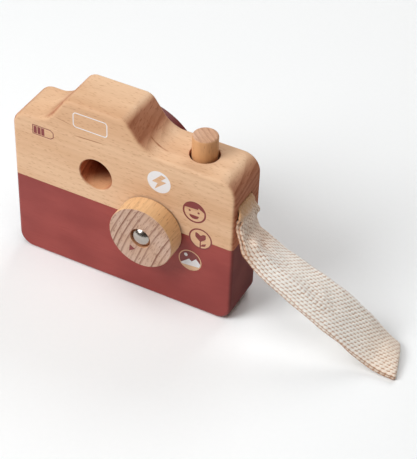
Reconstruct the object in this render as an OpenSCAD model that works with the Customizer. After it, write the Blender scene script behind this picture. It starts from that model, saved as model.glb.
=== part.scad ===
// Wooden toy camera: a beech body with a humped top, a turning mode dial, a turning lens ring,
// a sprung shutter button and a wrist strap of cotton webbing.
// Millimetres, Z up. The body stands on Z = 0, X runs along it, the eye looks in on the -Y side
// and the lens stands on the +Y side.

/* [Body] */
// Width of the body block
body_w = 125; // [115:1:140]
// Depth of the body block, from the eye side to the lens side
body_d = 28; // [26:0.5:34]
// Height of the shoulder that carries the button
shoulder_h = 88.3; // [84:0.1:94]
// How much lower the other shoulder lies
shoulder_step = 1.1; // [0:0.1:2.5]
// Height of the hump
hump_h = 104; // [99:0.5:112]
// Place of the middle of the hump along the body
hump_x = -14.7; // [-20:0.1:-10]
// Width of the hump along its top
hump_top_w = 33.6; // [26:0.2:38]
// Width of the hump where it meets the shoulders
hump_foot_w = 57; // [50:0.5:62]
// Radius of the hump's upper corners
hump_r = 6; // [3:0.5:8]
// Radius of the hollow at the foot of the hump
hump_foot_r = 14; // [8:0.5:16]
// Radius of the body's lower corners
bottom_r = 8; // [5:0.5:12]
// Radius of the upper corner beside the button
top_r = 9.5; // [5:0.5:12]
// Radius of the upper corner at the other end
other_top_r = 8; // [5:0.5:12]
// Round-over along all edges of the block
edge_r = 2; // [1:0.1:3]

/* [Viewfinder] */
// Diameter of the hole that the eye looks through
viewfinder_d = 18; // [14:0.2:19]
// Place of the viewfinder and the lens along the body
viewfinder_x = -14.6; // [-18:0.1:-10]
// Height of the viewfinder
viewfinder_z = 64.5; // [60:0.1:66]
// Width of the broken edge round the viewfinder
viewfinder_break = 0.5; // [0.2:0.1:1]

/* [Lens] */
// Outer diameter of the lens ring
lens_d = 72; // [70:0.5:76]
// Height of the lens axis
lens_z = 46.2; // [44:0.1:50]
// How far the lens ring stands out from the body
lens_reach = 20; // [17:0.5:26]
// Thickness of the ring's wall round its mouth
ring_wall = 3.1; // [2.5:0.1:4]
// How far the flange that keeps the ring on its hub stands out over the hub tube
hub_flange = 1.6; // [1:0.1:2.5]
// Thickness of that flange
hub_flange_t = 3.4; // [3:0.1:4]
// Wall of the hub tube that the ring turns on
hub_wall = 3.5; // [3:0.1:5]
// Depth of the hub's seat in the body
hub_seat = 5; // [3:0.5:8]
// Length of the ring's inner lip, which runs between the body and the flange
ring_lip = 8; // [5:0.5:9]
// Round-over of the lens ring's outer edges
ring_edge_r = 1.6; // [0.5:0.1:2]
// Width of the ledge in the hub that the acrylic disc sits on
glass_ledge = 2; // [1:0.1:2.5]
// Thickness of the acrylic disc at its rim
glass_t = 2.4; // [2:0.1:2.8]
// How far the acrylic disc domes outwards
glass_dome = 2; // [0.5:0.1:3]

/* [Mode dial] */
// Diameter of the dial
dial_d = 35; // [30:0.5:38]
// Thickness of the dial
dial_t = 10.8; // [8:0.1:14]
// Distance of the dial's axis from the strap's end of the body
dial_inset = 45.2; // [43:0.1:48]
// Height of the dial's axis
dial_z = 45.4; // [42:0.1:50]
// Round-over of the dial's edges
dial_edge_r = 0.8; // [0.3:0.1:1.5]
// Thickness of the washer behind the dial
washer_t = 0.5; // [0.3:0.1:1.5]
// Diameter of that washer
washer_d = 16; // [12:0.5:24]
// Diameter of the rivet's head
rivet_head_d = 10; // [8:0.1:12]
// Height of the rivet's domed head
rivet_dome = 2.6; // [1.5:0.1:3.5]
// Depth to which the rivet's head sinks into the dial
rivet_sink = 1.6; // [1:0.1:2.5]
// Diameter of the rivet's shank
rivet_d = 5; // [4:0.1:6]
// Length of the shank in the body
rivet_grip = 15; // [10:0.5:18]
// Gap round the rivet's head in its counterbore
rivet_head_gap = 0.6; // [0.3:0.1:1]

/* [Shutter button] */
// Diameter of the button
button_d = 13; // [11:0.1:14]
// Height of the button above the shoulder
button_h = 11.5; // [9:0.1:16]
// Travel of the button
button_travel = 5; // [3:0.5:7]
// Distance of the button from the strap's end of the body
button_inset = 24.4; // [22:0.1:26]
// Place of the button across the body
button_y = 1; // [-1:0.1:1.5]
// Round-over of the button's top edge
button_edge_r = 1; // [0.3:0.1:2]
// Gap round the button in its hole
button_gap = 1; // [0.5:0.1:1.4]
// How far the bore for the button's flange, spring and plug is wider than that hole, on each side
button_ledge = 2.5; // [1.5:0.1:3]
// Thickness of wood above that bore
button_roof = 12; // [8:0.5:16]
// Thickness of the button's flange
button_flange_t = 4; // [3:0.5:6]
// Length of the stub under the button that centres the spring
button_stub = 4; // [2:0.5:5]

/* [Button spring] */
// Outer diameter of the spring
spring_d = 13; // [12.6:0.1:15]
// Diameter of the spring's wire
spring_wire = 1; // [0.7:0.1:1.2]
// Length of the spring at rest
spring_len = 22; // [20:0.5:26]
// Gap between the spring and the stubs that centre it
spring_gap = 1; // [0.5:0.1:1.5]
// Number of curls
spring_curls = 6; // [5:1:7]

/* [Wrist strap] */
// Width of the webbing
strap_w = 24; // [21:0.5:26]
// Thickness of the webbing
strap_t = 1.4; // [1.2:0.1:1.8]
// Width to which the webbing is pinched in its slot
strap_pinch_w = 14; // [12:0.5:16]
// Height of the slot in the end of the body
strap_z = 69; // [65:0.5:73]
// Place of the slot across the body
strap_y = -2.7; // [-3.5:0.1:0]
// How far the loop reaches from the end of the body
strap_reach = 86; // [80:0.5:95]
// Diameter of the cross dowel in the slot
strap_dowel_d = 4; // [3:0.1:4.4]
// Distance of the cross dowel from the end of the body
strap_dowel_inset = 5.5; // [5:0.1:6]
// Thickness of wood behind the blind end of the cross dowel
strap_dowel_cover = 2; // [1.5:0.1:2.4]

/* [Hidden] */

$fn = 64;
// Length by which a cut runs past the face that it opens
over = 1;
// Gap left for glue
glue = 0.05;
// Radial play of a piece that runs on or in another
play = 0.08;
// Gap between faces that slide past each other
slip = 0.2;
// Gap between loose neighbours
clear = 0.3;

beech = "#dcb48c";
end_grain = "#c9a58c";
burgundy = "#6e2a2c";
steel = "#c4c4c0";
nylon = "#4a4038";
acrylic = [0.85, 0.92, 0.95, 0.4];
cotton = "#ece4d8";

eye_y = -body_d / 2;
lens_y = body_d / 2;
end_x = body_w / 2;

// Steps in each rounded corner of the outline, and in the round-over of its edges
corner_steps = 8;
edge_steps = 4;

// Direction in the plane at an angle from X
function heading(a) = [cos(a), sin(a)];

function unit(v) = v / norm(v);

// Points of an arc, from angle a0 to a1
function arc(centre, r, a0, a1, steps) =
    [for (i = [0:steps]) centre + r * heading(a0 + (a1 - a0) * i / steps)];

// One corner of an outline that runs anticlockwise, rounded, as pairs of point and outward normal
function corner(before, at, after, r) =
    let (
        u = unit(before - at),
        v = unit(after - at),
        bend = acos(u * v),
        side = sign(cross(at - before, after - at)),
        // A radius takes up half of its shorter edge at most
        run = min(r / tan(bend / 2), norm(before - at) / 2, norm(after - at) / 2),
        fit_r = run * tan(bend / 2),
        centre = at + unit(u + v) * run / cos(bend / 2),
        start = at + u * run - centre,
        a0 = atan2(start.y, start.x),
        sweep = side * (180 - bend)
    )
    [for (i = [0:corner_steps])
        let (out = heading(a0 + sweep * i / corner_steps))
        [centre + fit_r * out, side * out]];

// Corners of the body seen from the eye side, each with its radius
low_shoulder_h = shoulder_h - shoulder_step;
body_corners = [
    [[-end_x, 0], bottom_r],
    [[end_x, 0], bottom_r],
    [[end_x, shoulder_h], top_r],
    [[hump_x + hump_foot_w / 2, shoulder_h], hump_foot_r],
    [[hump_x + hump_top_w / 2, hump_h], hump_r],
    [[hump_x - hump_top_w / 2, hump_h], hump_r],
    [[hump_x - hump_foot_w / 2, low_shoulder_h], hump_foot_r],
    [[-end_x, low_shoulder_h], other_top_r]
];

body_outline = [
    for (i = [0:len(body_corners) - 1])
        let (n = len(body_corners))
        each corner(body_corners[(i + n - 1) % n][0], body_corners[i][0],
                    body_corners[(i + 1) % n][0], body_corners[i][1])
];

// Rings of the body from the eye side to the lens side: [place along Y, inset of the outline]
edge_turns = [for (i = [0:edge_steps]) 90 * i / edge_steps];
body_rings = concat(
    [for (i = [0:edge_steps])
        [eye_y + edge_r * (1 - cos(edge_turns[i])), edge_r * (1 - sin(edge_turns[i]))]],
    [for (i = [edge_steps:-1:0])
        [lens_y - edge_r * (1 - cos(edge_turns[i])), edge_r * (1 - sin(edge_turns[i]))]]
);

// Closed band of triangles between neighbouring rings of equal count
function band(rings, count, closed) =
    [for (i = [0:rings - (closed ? 1 : 2)], j = [0:count - 1])
        let (
            a = i * count + j,
            b = i * count + (j + 1) % count,
            c = ((i + 1) % rings) * count + (j + 1) % count,
            d = ((i + 1) % rings) * count + j
        )
        each [[a, b, c], [a, c, d]]];

// Block with its outline rounded and its edges rounded over
module rounded_block() {
    count = len(body_outline);
    rings = len(body_rings);
    points = [
        for (ring = body_rings, p = body_outline)
            let (at = p[0] - p[1] * ring[1])
            [at.x, ring[0], at.y]
    ];
    caps = [
        [for (j = [count - 1:-1:0]) j],
        [for (j = [0:count - 1]) (rings - 1) * count + j]
    ];
    polyhedron(points, concat(band(rings, count, false), caps), convexity = 6);
}

// Puts a shape that is turned about Z onto an axis that points out of the eye side or the lens side
module out_of_eye_side(x, z) {
    translate([x, eye_y, z]) rotate([90, 0, 0]) children();
}

module out_of_lens_side(x, z) {
    translate([x, lens_y, z]) rotate([-90, 0, 0]) children();
}

module at_button() {
    translate([button_x, button_y, 0]) children();
}

// Sizes that several pieces share
dial_x = end_x - dial_inset;
rivet_hole_depth = rivet_grip + clear;
button_x = end_x - button_inset;
button_hole_d = button_d + 2 * button_gap;
button_bore_d = button_hole_d + 2 * button_ledge;
button_stub_d = spring_d - 2 * (spring_wire + spring_gap);
bore_top = shoulder_h - button_roof;
flange_top = bore_top - slip;
flange_low = flange_top - button_flange_t;
plug_top = flange_low - spring_len;
stop_top = flange_low - button_stub - button_travel - slip;
hub_flange_d = lens_d - 2 * (ring_wall + clear);
hub_d = hub_flange_d - 2 * hub_flange;
hub_bore_d = hub_d - 2 * hub_wall;
glass_d = hub_bore_d + 2 * glass_ledge;
hub_r = hub_d / 2;
flange_back = clear + ring_lip + slip;
flange_front = flange_back + hub_flange_t;
glass_seat = flange_front - glass_t;
bight_r = strap_dowel_d / 2 + clear + strap_t / 2;
slot_half_h = bight_r + strap_t / 2 + clear;
slot_w = strap_pinch_w + clear + clear;
slot_depth = strap_dowel_inset + slot_half_h;
dowel_low = eye_y + strap_dowel_cover;

module viewfinder_cut() {
    wide_d = viewfinder_d + 2 * (viewfinder_break + over);
    out_of_eye_side(viewfinder_x, viewfinder_z) {
        translate([0, 0, -body_d - over]) cylinder(d = viewfinder_d, h = body_d + 2 * over);
        translate([0, 0, -viewfinder_break])
            cylinder(d1 = viewfinder_d, d2 = wide_d, h = viewfinder_break + over);
    }
}

module button_cut() {
    at_button() {
        translate([0, 0, -over]) cylinder(d = button_bore_d, h = bore_top + over);
        cylinder(d = button_hole_d, h = shoulder_h + over);
    }
}

module strap_cut() {
    translate([end_x - slot_depth, strap_y - slot_w / 2, strap_z - slot_half_h])
        cube([slot_depth + over, slot_w, 2 * slot_half_h]);
    translate([end_x - strap_dowel_inset, dowel_low, strap_z])
        rotate([-90, 0, 0]) cylinder(d = strap_dowel_d + 2 * glue, h = lens_y - dowel_low + over);
}

// The wooden block with all its bores
module body_block() {
    color(beech)
    difference() {
        rounded_block();
        viewfinder_cut();
        out_of_lens_side(viewfinder_x, lens_z)
            translate([0, 0, -hub_seat]) cylinder(d = hub_d + 2 * glue, h = hub_seat + over);
        out_of_eye_side(dial_x, dial_z)
            translate([0, 0, -rivet_hole_depth]) cylinder(d = rivet_d + 2 * glue, h = rivet_hole_depth + over);
        button_cut();
        strap_cut();
    }
}

// Flanged tube, glued into the lens side, that the lens ring turns on
module lens_hub() {
    flange_r = hub_flange_d / 2;
    bore_r = hub_bore_d / 2;
    seat_r = glass_d / 2 + glue;
    low = glue - hub_seat;
    color(beech)
    out_of_lens_side(viewfinder_x, lens_z)
        rotate_extrude() polygon([
            [bore_r, low],
            [hub_r, low],
            [hub_r, flange_back],
            [flange_r, flange_back],
            [flange_r, flange_front],
            [seat_r, flange_front],
            [seat_r, glass_seat],
            [bore_r, glass_seat]
        ]);
}

// Painted ring with an inner lip that the hub's flange holds against the body
module lens_ring() {
    r = lens_d / 2;
    lip_r = hub_r + play;
    mouth_r = hub_flange_d / 2 + clear;
    lip_front = clear + ring_lip;
    front = lens_reach;
    e = ring_edge_r;
    half_wall = (r - mouth_r) / 2;
    color(burgundy)
    out_of_lens_side(viewfinder_x, lens_z)
        rotate_extrude() polygon(concat(
            [[lip_r, clear]],
            arc([r - e, clear + e], e, -90, 0, edge_steps),
            arc([r - half_wall, front - half_wall], half_wall, 0, 180, 2 * edge_steps),
            [[mouth_r, lip_front], [lip_r, lip_front]]
        ));
}

// Clear acrylic disc, flat behind and domed in front
module lens_glass() {
    r = glass_d / 2;
    back = glass_seat + glue;
    rim = back + glass_t;
    dome_r = (r * r + glass_dome * glass_dome) / (2 * glass_dome);
    dome_turn = asin(r / dome_r);
    color(acrylic)
    out_of_lens_side(viewfinder_x, lens_z)
        rotate_extrude() polygon(concat(
            [[0, back], [r, back]],
            arc([0, rim + glass_dome - dome_r], dome_r, 90 - dome_turn, 90, corner_steps)
        ));
}

// Turned dial with a counterbore for the rivet's head
module mode_dial() {
    r = dial_d / 2;
    bore_r = rivet_d / 2 + play;
    sink_r = rivet_head_d / 2 + rivet_head_gap;
    back = washer_t + slip;
    front = back + dial_t;
    e = dial_edge_r;
    color(end_grain)
    out_of_eye_side(dial_x, dial_z)
        rotate_extrude() polygon(concat(
            [[bore_r, back]],
            arc([r - e, back + e], e, -90, 0, edge_steps),
            arc([r - e, front - e], e, 0, 90, edge_steps),
            [[sink_r, front], [sink_r, front - rivet_sink], [bore_r, front - rivet_sink]]
        ));
}

// Rivet with a low domed head
module dial_rivet() {
    head_r = rivet_head_d / 2;
    shank_r = rivet_d / 2;
    seat = washer_t + slip + dial_t - rivet_sink + slip;
    dome_r = (head_r * head_r + rivet_dome * rivet_dome) / (2 * rivet_dome);
    dome_turn = asin(head_r / dome_r);
    color(steel)
    out_of_eye_side(dial_x, dial_z)
        rotate_extrude() polygon(concat(
            [[0, -rivet_grip], [shank_r, -rivet_grip], [shank_r, seat]],
            arc([0, seat + rivet_dome - dome_r], dome_r, 90 - dome_turn, 90, corner_steps)
        ));
}

// Flat washer between the body and the dial
module dial_washer() {
    color(nylon)
    out_of_eye_side(dial_x, dial_z)
        difference() {
            cylinder(d = washer_d, h = washer_t);
            translate([0, 0, -over]) cylinder(d = rivet_d + 2 * play, h = washer_t + 2 * over);
        }
}

// Turned button with a flange that stops it under the shoulder
module shutter_button() {
    r = button_d / 2;
    flange_r = button_bore_d / 2 - play;
    stub_r = button_stub_d / 2;
    top = shoulder_h + button_h;
    e = button_edge_r;
    color(end_grain)
    at_button()
        rotate_extrude() polygon(concat(
            [[0, flange_low - button_stub], [stub_r, flange_low - button_stub], [stub_r, flange_low]],
            [[flange_r, flange_low], [flange_r, flange_top], [r, flange_top]],
            arc([r - e, top - e], e, 0, 90, edge_steps),
            [[0, top]]
        ));
}

// Dowel glued into the bore from below, with a stub that centres the spring and stops the button
module button_plug() {
    r = button_bore_d / 2 - glue;
    stub_r = button_stub_d / 2;
    color(beech)
    at_button()
        rotate_extrude() polygon([
            [0, 0],
            [r, 0],
            [r, plug_top],
            [stub_r, plug_top],
            [stub_r, stop_top],
            [0, stop_top]
        ]);
}

// Coil spring between the plug and the button's flange
curl_rings = 8;
wire_sides = 6;
coil_r = (spring_d - spring_wire) / 2;
coil_low = plug_top + spring_wire / 2 + slip;
coil_rise = spring_len - spring_wire - 2 * slip;
coil_count = spring_curls * curl_rings;
coil_slope = atan(coil_rise / (360 * spring_curls) * 180 / PI / coil_r);
coil_route = [
    for (i = [0:coil_count])
        let (a = 360 * i / curl_rings)
        [coil_r * cos(a), coil_r * sin(a), coil_low + coil_rise * i / coil_count]
];
coil_gap = min([
    for (i = [0:coil_count], j = [0:coil_count])
        if (j - i >= curl_rings - 1) norm(coil_route[j] - coil_route[i])
]) - spring_wire;
echo(least_gap_between_curls = coil_gap);

module button_spring() {
    points = [
        for (i = [0:coil_count], k = [0:wire_sides - 1])
            let (
                a = 360 * i / curl_rings,
                out = [cos(a), sin(a), 0],
                rise = [sin(a) * sin(coil_slope), -cos(a) * sin(coil_slope), cos(coil_slope)],
                turn = heading(360 * k / wire_sides) * spring_wire / 2
            )
            coil_route[i] + out * turn.x + rise * turn.y
    ];
    caps = [
        [for (k = [wire_sides - 1:-1:0]) k],
        [for (k = [0:wire_sides - 1]) coil_count * wire_sides + k]
    ];
    faces = concat(band(coil_count + 1, wire_sides, false), caps);
    color(steel) at_button() polyhedron(points, faces, convexity = 10);
}

// Webbing loop: it leaves the slot, turns down along the end of the body, slopes to the floor,
// folds back under itself and returns round the cross dowel.
// Line midway between its two layers, in shares of the reach, of the slot's height and of the
// webbing's width, then the tilt and the yaw of the webbing and the share of its width that it spreads to
strap_middle_shares = [
    [0.000, 0.900, -0.12, -14, 0, 0.8],
    [0.015, 0.825, -0.165, -13, -1, 0.8],
    [0.045, 0.765, -0.20, -15, -3, 0.9],
    [0.095, 0.715, -0.215, -17, -3, 1],
    [0.145, 0.665, -0.225, -13, -2, 1],
    [0.250, 0.580, -0.23, -6, 0, 1],
    [0.355, 0.505, -0.21, 0, 0, 1],
    [0.460, 0.425, -0.18, 6, 0, 1],
    [0.560, 0.340, -0.125, 11, 0, 1],
    [0.650, 0.245, -0.06, 14, 0, 1],
    [0.740, 0.145, 0.01, 13, 0, 1],
    [0.835, 0.050, 0.055, 7, -3, 1],
    [0.900, 0.020, 0.045, 4, -10, 1],
    [0.965, 0.004, 0.03, 1, -17, 1]
];
// The two ways out of the slot: share of the way out to the layer, of the bight's radius above the
// dowel and of the webbing's width across, then the tilt and the share of the width to spread to
strap_over_shares = [
    [-0.60, 0.97, 0, 0, 0],
    [0.25, 0.60, 0, 2, 0],
    [1.00, -0.60, -0.01, -7, 0.12]
];
strap_under_shares = [
    [-1.60, -0.65, 0, 0, 0],
    [0.85, -0.92, 0, 0, 0],
    [1.15, -1.45, 0, -5, 0.15]
];
// Gap between the two layers, and the broken corner of the webbing's section, in thicknesses
strap_gap_share = 0.32;
strap_corner_share = 0.3;
// Steps between two points of the route, turns of the end fold and of the bight round the dowel
strap_steps = 3;
fold_turns = [45, 0, -45];
bight_turns = [270, 225, 180, 135, 90];

strap_layer = strap_t * (1 + strap_gap_share);
strap_low = strap_t + strap_layer / 2 - strap_t / 2;
strap_out = strap_low + clear;
strap_last = len(strap_middle_shares) - 1;
strap_dowel_at = [end_x - strap_dowel_inset, strap_y, strap_z];
pinch = strap_pinch_w / strap_w;

// Direction across the webbing at a tilt and a yaw
function across(tilt, yaw) = [cos(tilt) * sin(yaw), cos(tilt) * cos(yaw), sin(tilt)];

strap_middle = [
    for (s = strap_middle_shares)
        [end_x + strap_out + s[0] * strap_reach, s[2] * strap_w, strap_low + s[1] * strap_z]
];
strap_across = [for (s = strap_middle_shares) across(s[3], s[4])];
strap_along = [
    for (i = [0:strap_last]) unit(strap_middle[min(i + 1, strap_last)] - strap_middle[max(i - 1, 0)])
];
strap_up = [for (i = [0:strap_last]) unit(cross(strap_along[i], strap_across[i]))];

// Rows of the route: [point, direction across the webbing, share of the webbing's width]
function layer_row(i, side) =
    [strap_middle[i] + side * strap_layer / 2 * strap_up[i], strap_across[i], strap_middle_shares[i][5]];

function fold_row(turn) =
    [strap_middle[strap_last] + strap_layer / 2 *
        (cos(turn) * strap_along[strap_last] + sin(turn) * strap_up[strap_last]),
     strap_across[strap_last], 1];

function way_out_row(s, side) =
    let (to = layer_row(0, side)[0].x - end_x)
    [[end_x + s[0] * to, strap_y + s[2] * strap_w, strap_z + s[1] * bight_r],
     across(s[3], 0), pinch + (1 - pinch) * s[4]];

strap_route = concat(
    [for (s = strap_over_shares) way_out_row(s, 1)],
    [for (i = [0:strap_last]) layer_row(i, 1)],
    [for (a = fold_turns) fold_row(a)],
    [for (i = [strap_last:-1:0]) layer_row(i, -1)],
    [for (i = [len(strap_under_shares) - 1:-1:0]) way_out_row(strap_under_shares[i], -1)],
    [for (a = bight_turns)
        [strap_dowel_at + bight_r * [cos(a), 0, sin(a)], across(0, 0), pinch]]
);

// Point between b and c on a smooth curve through a, b, c and d
function between(a, b, c, d, t) =
    let (
        step = norm(c - b),
        from = (c - a) * step / (step + norm(b - a)),
        to = (d - b) * step / (step + norm(d - c))
    )
    b + t * from + t * t * (3 * (c - b) - 2 * from - to) + t * t * t * (2 * (b - c) + from + to);

strap_count = len(strap_route);
strap_path = [
    for (i = [0:strap_count - 1], k = [0:strap_steps - 1])
        let (
            t = k / strap_steps,
            a = strap_route[(i + strap_count - 1) % strap_count],
            b = strap_route[i],
            c = strap_route[(i + 1) % strap_count],
            d = strap_route[(i + 2) % strap_count]
        )
        [between(a[0], b[0], c[0], d[0], t), unit(b[1] + (c[1] - b[1]) * t), b[2] + (c[2] - b[2]) * t]
];

module wrist_strap() {
    rings = len(strap_path);
    half_t = strap_t / 2;
    cut = strap_corner_share * strap_t;
    points = [
        for (i = [0:rings - 1])
            let (
                p = strap_path[i],
                from = unit(p[0] - strap_path[(i + rings - 1) % rings][0]),
                to = unit(strap_path[(i + 1) % rings][0] - p[0]),
                thick = unit(cross(from + to, p[1])),
                half_w = p[2] * strap_w / 2
            )
            for (s = [
                [half_w, cut - half_t], [half_w - cut, -half_t], [cut - half_w, -half_t],
                [-half_w, cut - half_t], [-half_w, half_t - cut], [cut - half_w, half_t],
                [half_w - cut, half_t], [half_w, half_t - cut]
            ])
                p[0] + s[0] * p[1] + s[1] * thick
    ];
    color(cotton) polyhedron(points, band(rings, len(points) / rings, true), convexity = 10);
}

// Cross dowel that holds the strap's bight in the slot
module strap_dowel() {
    color(beech)
    translate([end_x - strap_dowel_inset, dowel_low + glue, strap_z])
        rotate([-90, 0, 0]) cylinder(d = strap_dowel_d, h = lens_y - dowel_low - glue);
}

body_block();
lens_hub();
lens_ring();
lens_glass();
mode_dial();
dial_rivet();
dial_washer();
shutter_button();
button_spring();
button_plug();
wrist_strap();
strap_dowel();
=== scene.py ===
"""Beech toy camera with a painted base, a turned dial, a lens, a press button and a webbing loop.

The classes hold sizes in millimetres, in the frame of the CAD model: +X runs along the body towards
the strap, -Y points to the eye, Z points up and the floor is at Z = 0.
"""

import logging
import math
from dataclasses import dataclass
from enum import Enum
from functools import cached_property
from typing import Iterable, Sequence, Union

import bmesh
import bpy
from mathutils import Matrix, Vector, noise


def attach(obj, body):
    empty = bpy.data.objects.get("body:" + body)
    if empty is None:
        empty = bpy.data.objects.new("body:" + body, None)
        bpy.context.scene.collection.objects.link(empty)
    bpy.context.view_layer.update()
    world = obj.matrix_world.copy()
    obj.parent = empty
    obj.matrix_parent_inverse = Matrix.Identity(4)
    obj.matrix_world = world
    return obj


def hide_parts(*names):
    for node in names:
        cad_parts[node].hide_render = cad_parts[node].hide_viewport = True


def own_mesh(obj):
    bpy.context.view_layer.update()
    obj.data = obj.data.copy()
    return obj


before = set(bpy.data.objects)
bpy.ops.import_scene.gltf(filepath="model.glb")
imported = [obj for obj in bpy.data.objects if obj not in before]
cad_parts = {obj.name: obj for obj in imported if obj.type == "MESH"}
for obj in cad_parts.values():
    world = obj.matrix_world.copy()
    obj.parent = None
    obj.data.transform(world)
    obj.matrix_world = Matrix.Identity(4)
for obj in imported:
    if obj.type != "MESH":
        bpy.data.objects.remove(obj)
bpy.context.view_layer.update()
log = logging.getLogger("toy_camera")

MM = 0.001
Colour = tuple[float, float, float, float]
Point = tuple[float, float, float]
Flat = tuple[float, float]


class Body(Enum):
    """The moving bodies of the CAD model."""

    CAMERA = "camera_body"
    LENS = "lens_barrel"
    DIAL = "dial"
    BUTTON = "button"


class Slot(Enum):
    """Names of material slots, which nothing here assigns."""

    BEECH = "beech"
    END_GRAIN = "end_grain"
    PAINT = "burgundy_paint"
    STEEL = "steel"
    ACRYLIC = "acrylic"
    COTTON = "cotton"


class Axis(Enum):
    """Direction of the grain in a piece of wood."""

    X = 0
    Y = 1
    Z = 2


def srgb(red: int, green: int, blue: int) -> Colour:
    """Turns a display colour into the linear colour that shaders work with.

    Args:
        red: Red from 0 to 255.
        green: Green from 0 to 255.
        blue: Blue from 0 to 255.

    Returns:
        The linear colour, opaque.
    """
    parts = (c / 255 for c in (red, green, blue))
    linear = (c / 12.92 if c <= 0.04045 else ((c + 0.055) / 1.055) ** 2.4 for c in parts)
    return (*linear, 1.0)


# Shader graphs


class Wire:
    """An output of a shader node, on which Python's operators add Math nodes."""

    def __init__(self, graph: "Graph", socket: bpy.types.NodeSocket) -> None:
        """Wraps one output socket of a graph."""
        self.graph = graph
        self.socket = socket

    def math(self, operation: str, *terms: "Term") -> "Wire":
        """Adds one Math node that works on the given terms."""
        return self.graph.add("ShaderNodeMath", {"operation": operation}, dict(enumerate(terms)))

    def __add__(self, other: "Term") -> "Wire":
        """Sum."""
        return self.math("ADD", self, other)

    def __radd__(self, other: "Term") -> "Wire":
        """Sum with a number in front."""
        return self.math("ADD", other, self)

    def __sub__(self, other: "Term") -> "Wire":
        """Difference."""
        return self.math("SUBTRACT", self, other)

    def __rsub__(self, other: "Term") -> "Wire":
        """Difference with a number in front."""
        return self.math("SUBTRACT", other, self)

    def __mul__(self, other: "Term") -> "Wire":
        """Product."""
        return self.math("MULTIPLY", self, other)

    def __rmul__(self, other: "Term") -> "Wire":
        """Product with a number in front."""
        return self.math("MULTIPLY", other, self)

    def __truediv__(self, other: "Term") -> "Wire":
        """Quotient."""
        return self.math("DIVIDE", self, other)

    def __rtruediv__(self, other: "Term") -> "Wire":
        """Quotient with a number in front."""
        return self.math("DIVIDE", other, self)

    def __abs__(self) -> "Wire":
        """Absolute value."""
        return self.math("ABSOLUTE", self)

    def fraction(self) -> "Wire":
        """Part after the decimal point."""
        return self.math("FRACT", self)

    def floor(self) -> "Wire":
        """Whole number below."""
        return self.math("FLOOR", self)

    def sine(self) -> "Wire":
        """Sine of an angle in radians."""
        return self.math("SINE", self)

    def ease(self, low: float, high: float) -> "Wire":
        """Rises smoothly from 0 at low to 1 at high."""
        ends = {"Value": self, "From Min": low, "From Max": high}
        return self.graph.add("ShaderNodeMapRange", {"interpolation_type": "SMOOTHSTEP"}, ends)

    def output(self, index: int) -> "Wire":
        """Another output of the same node."""
        return Wire(self.graph, self.socket.node.outputs[index])


Term = Union[Wire, float]
Tone = Union[Wire, Colour]


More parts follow.
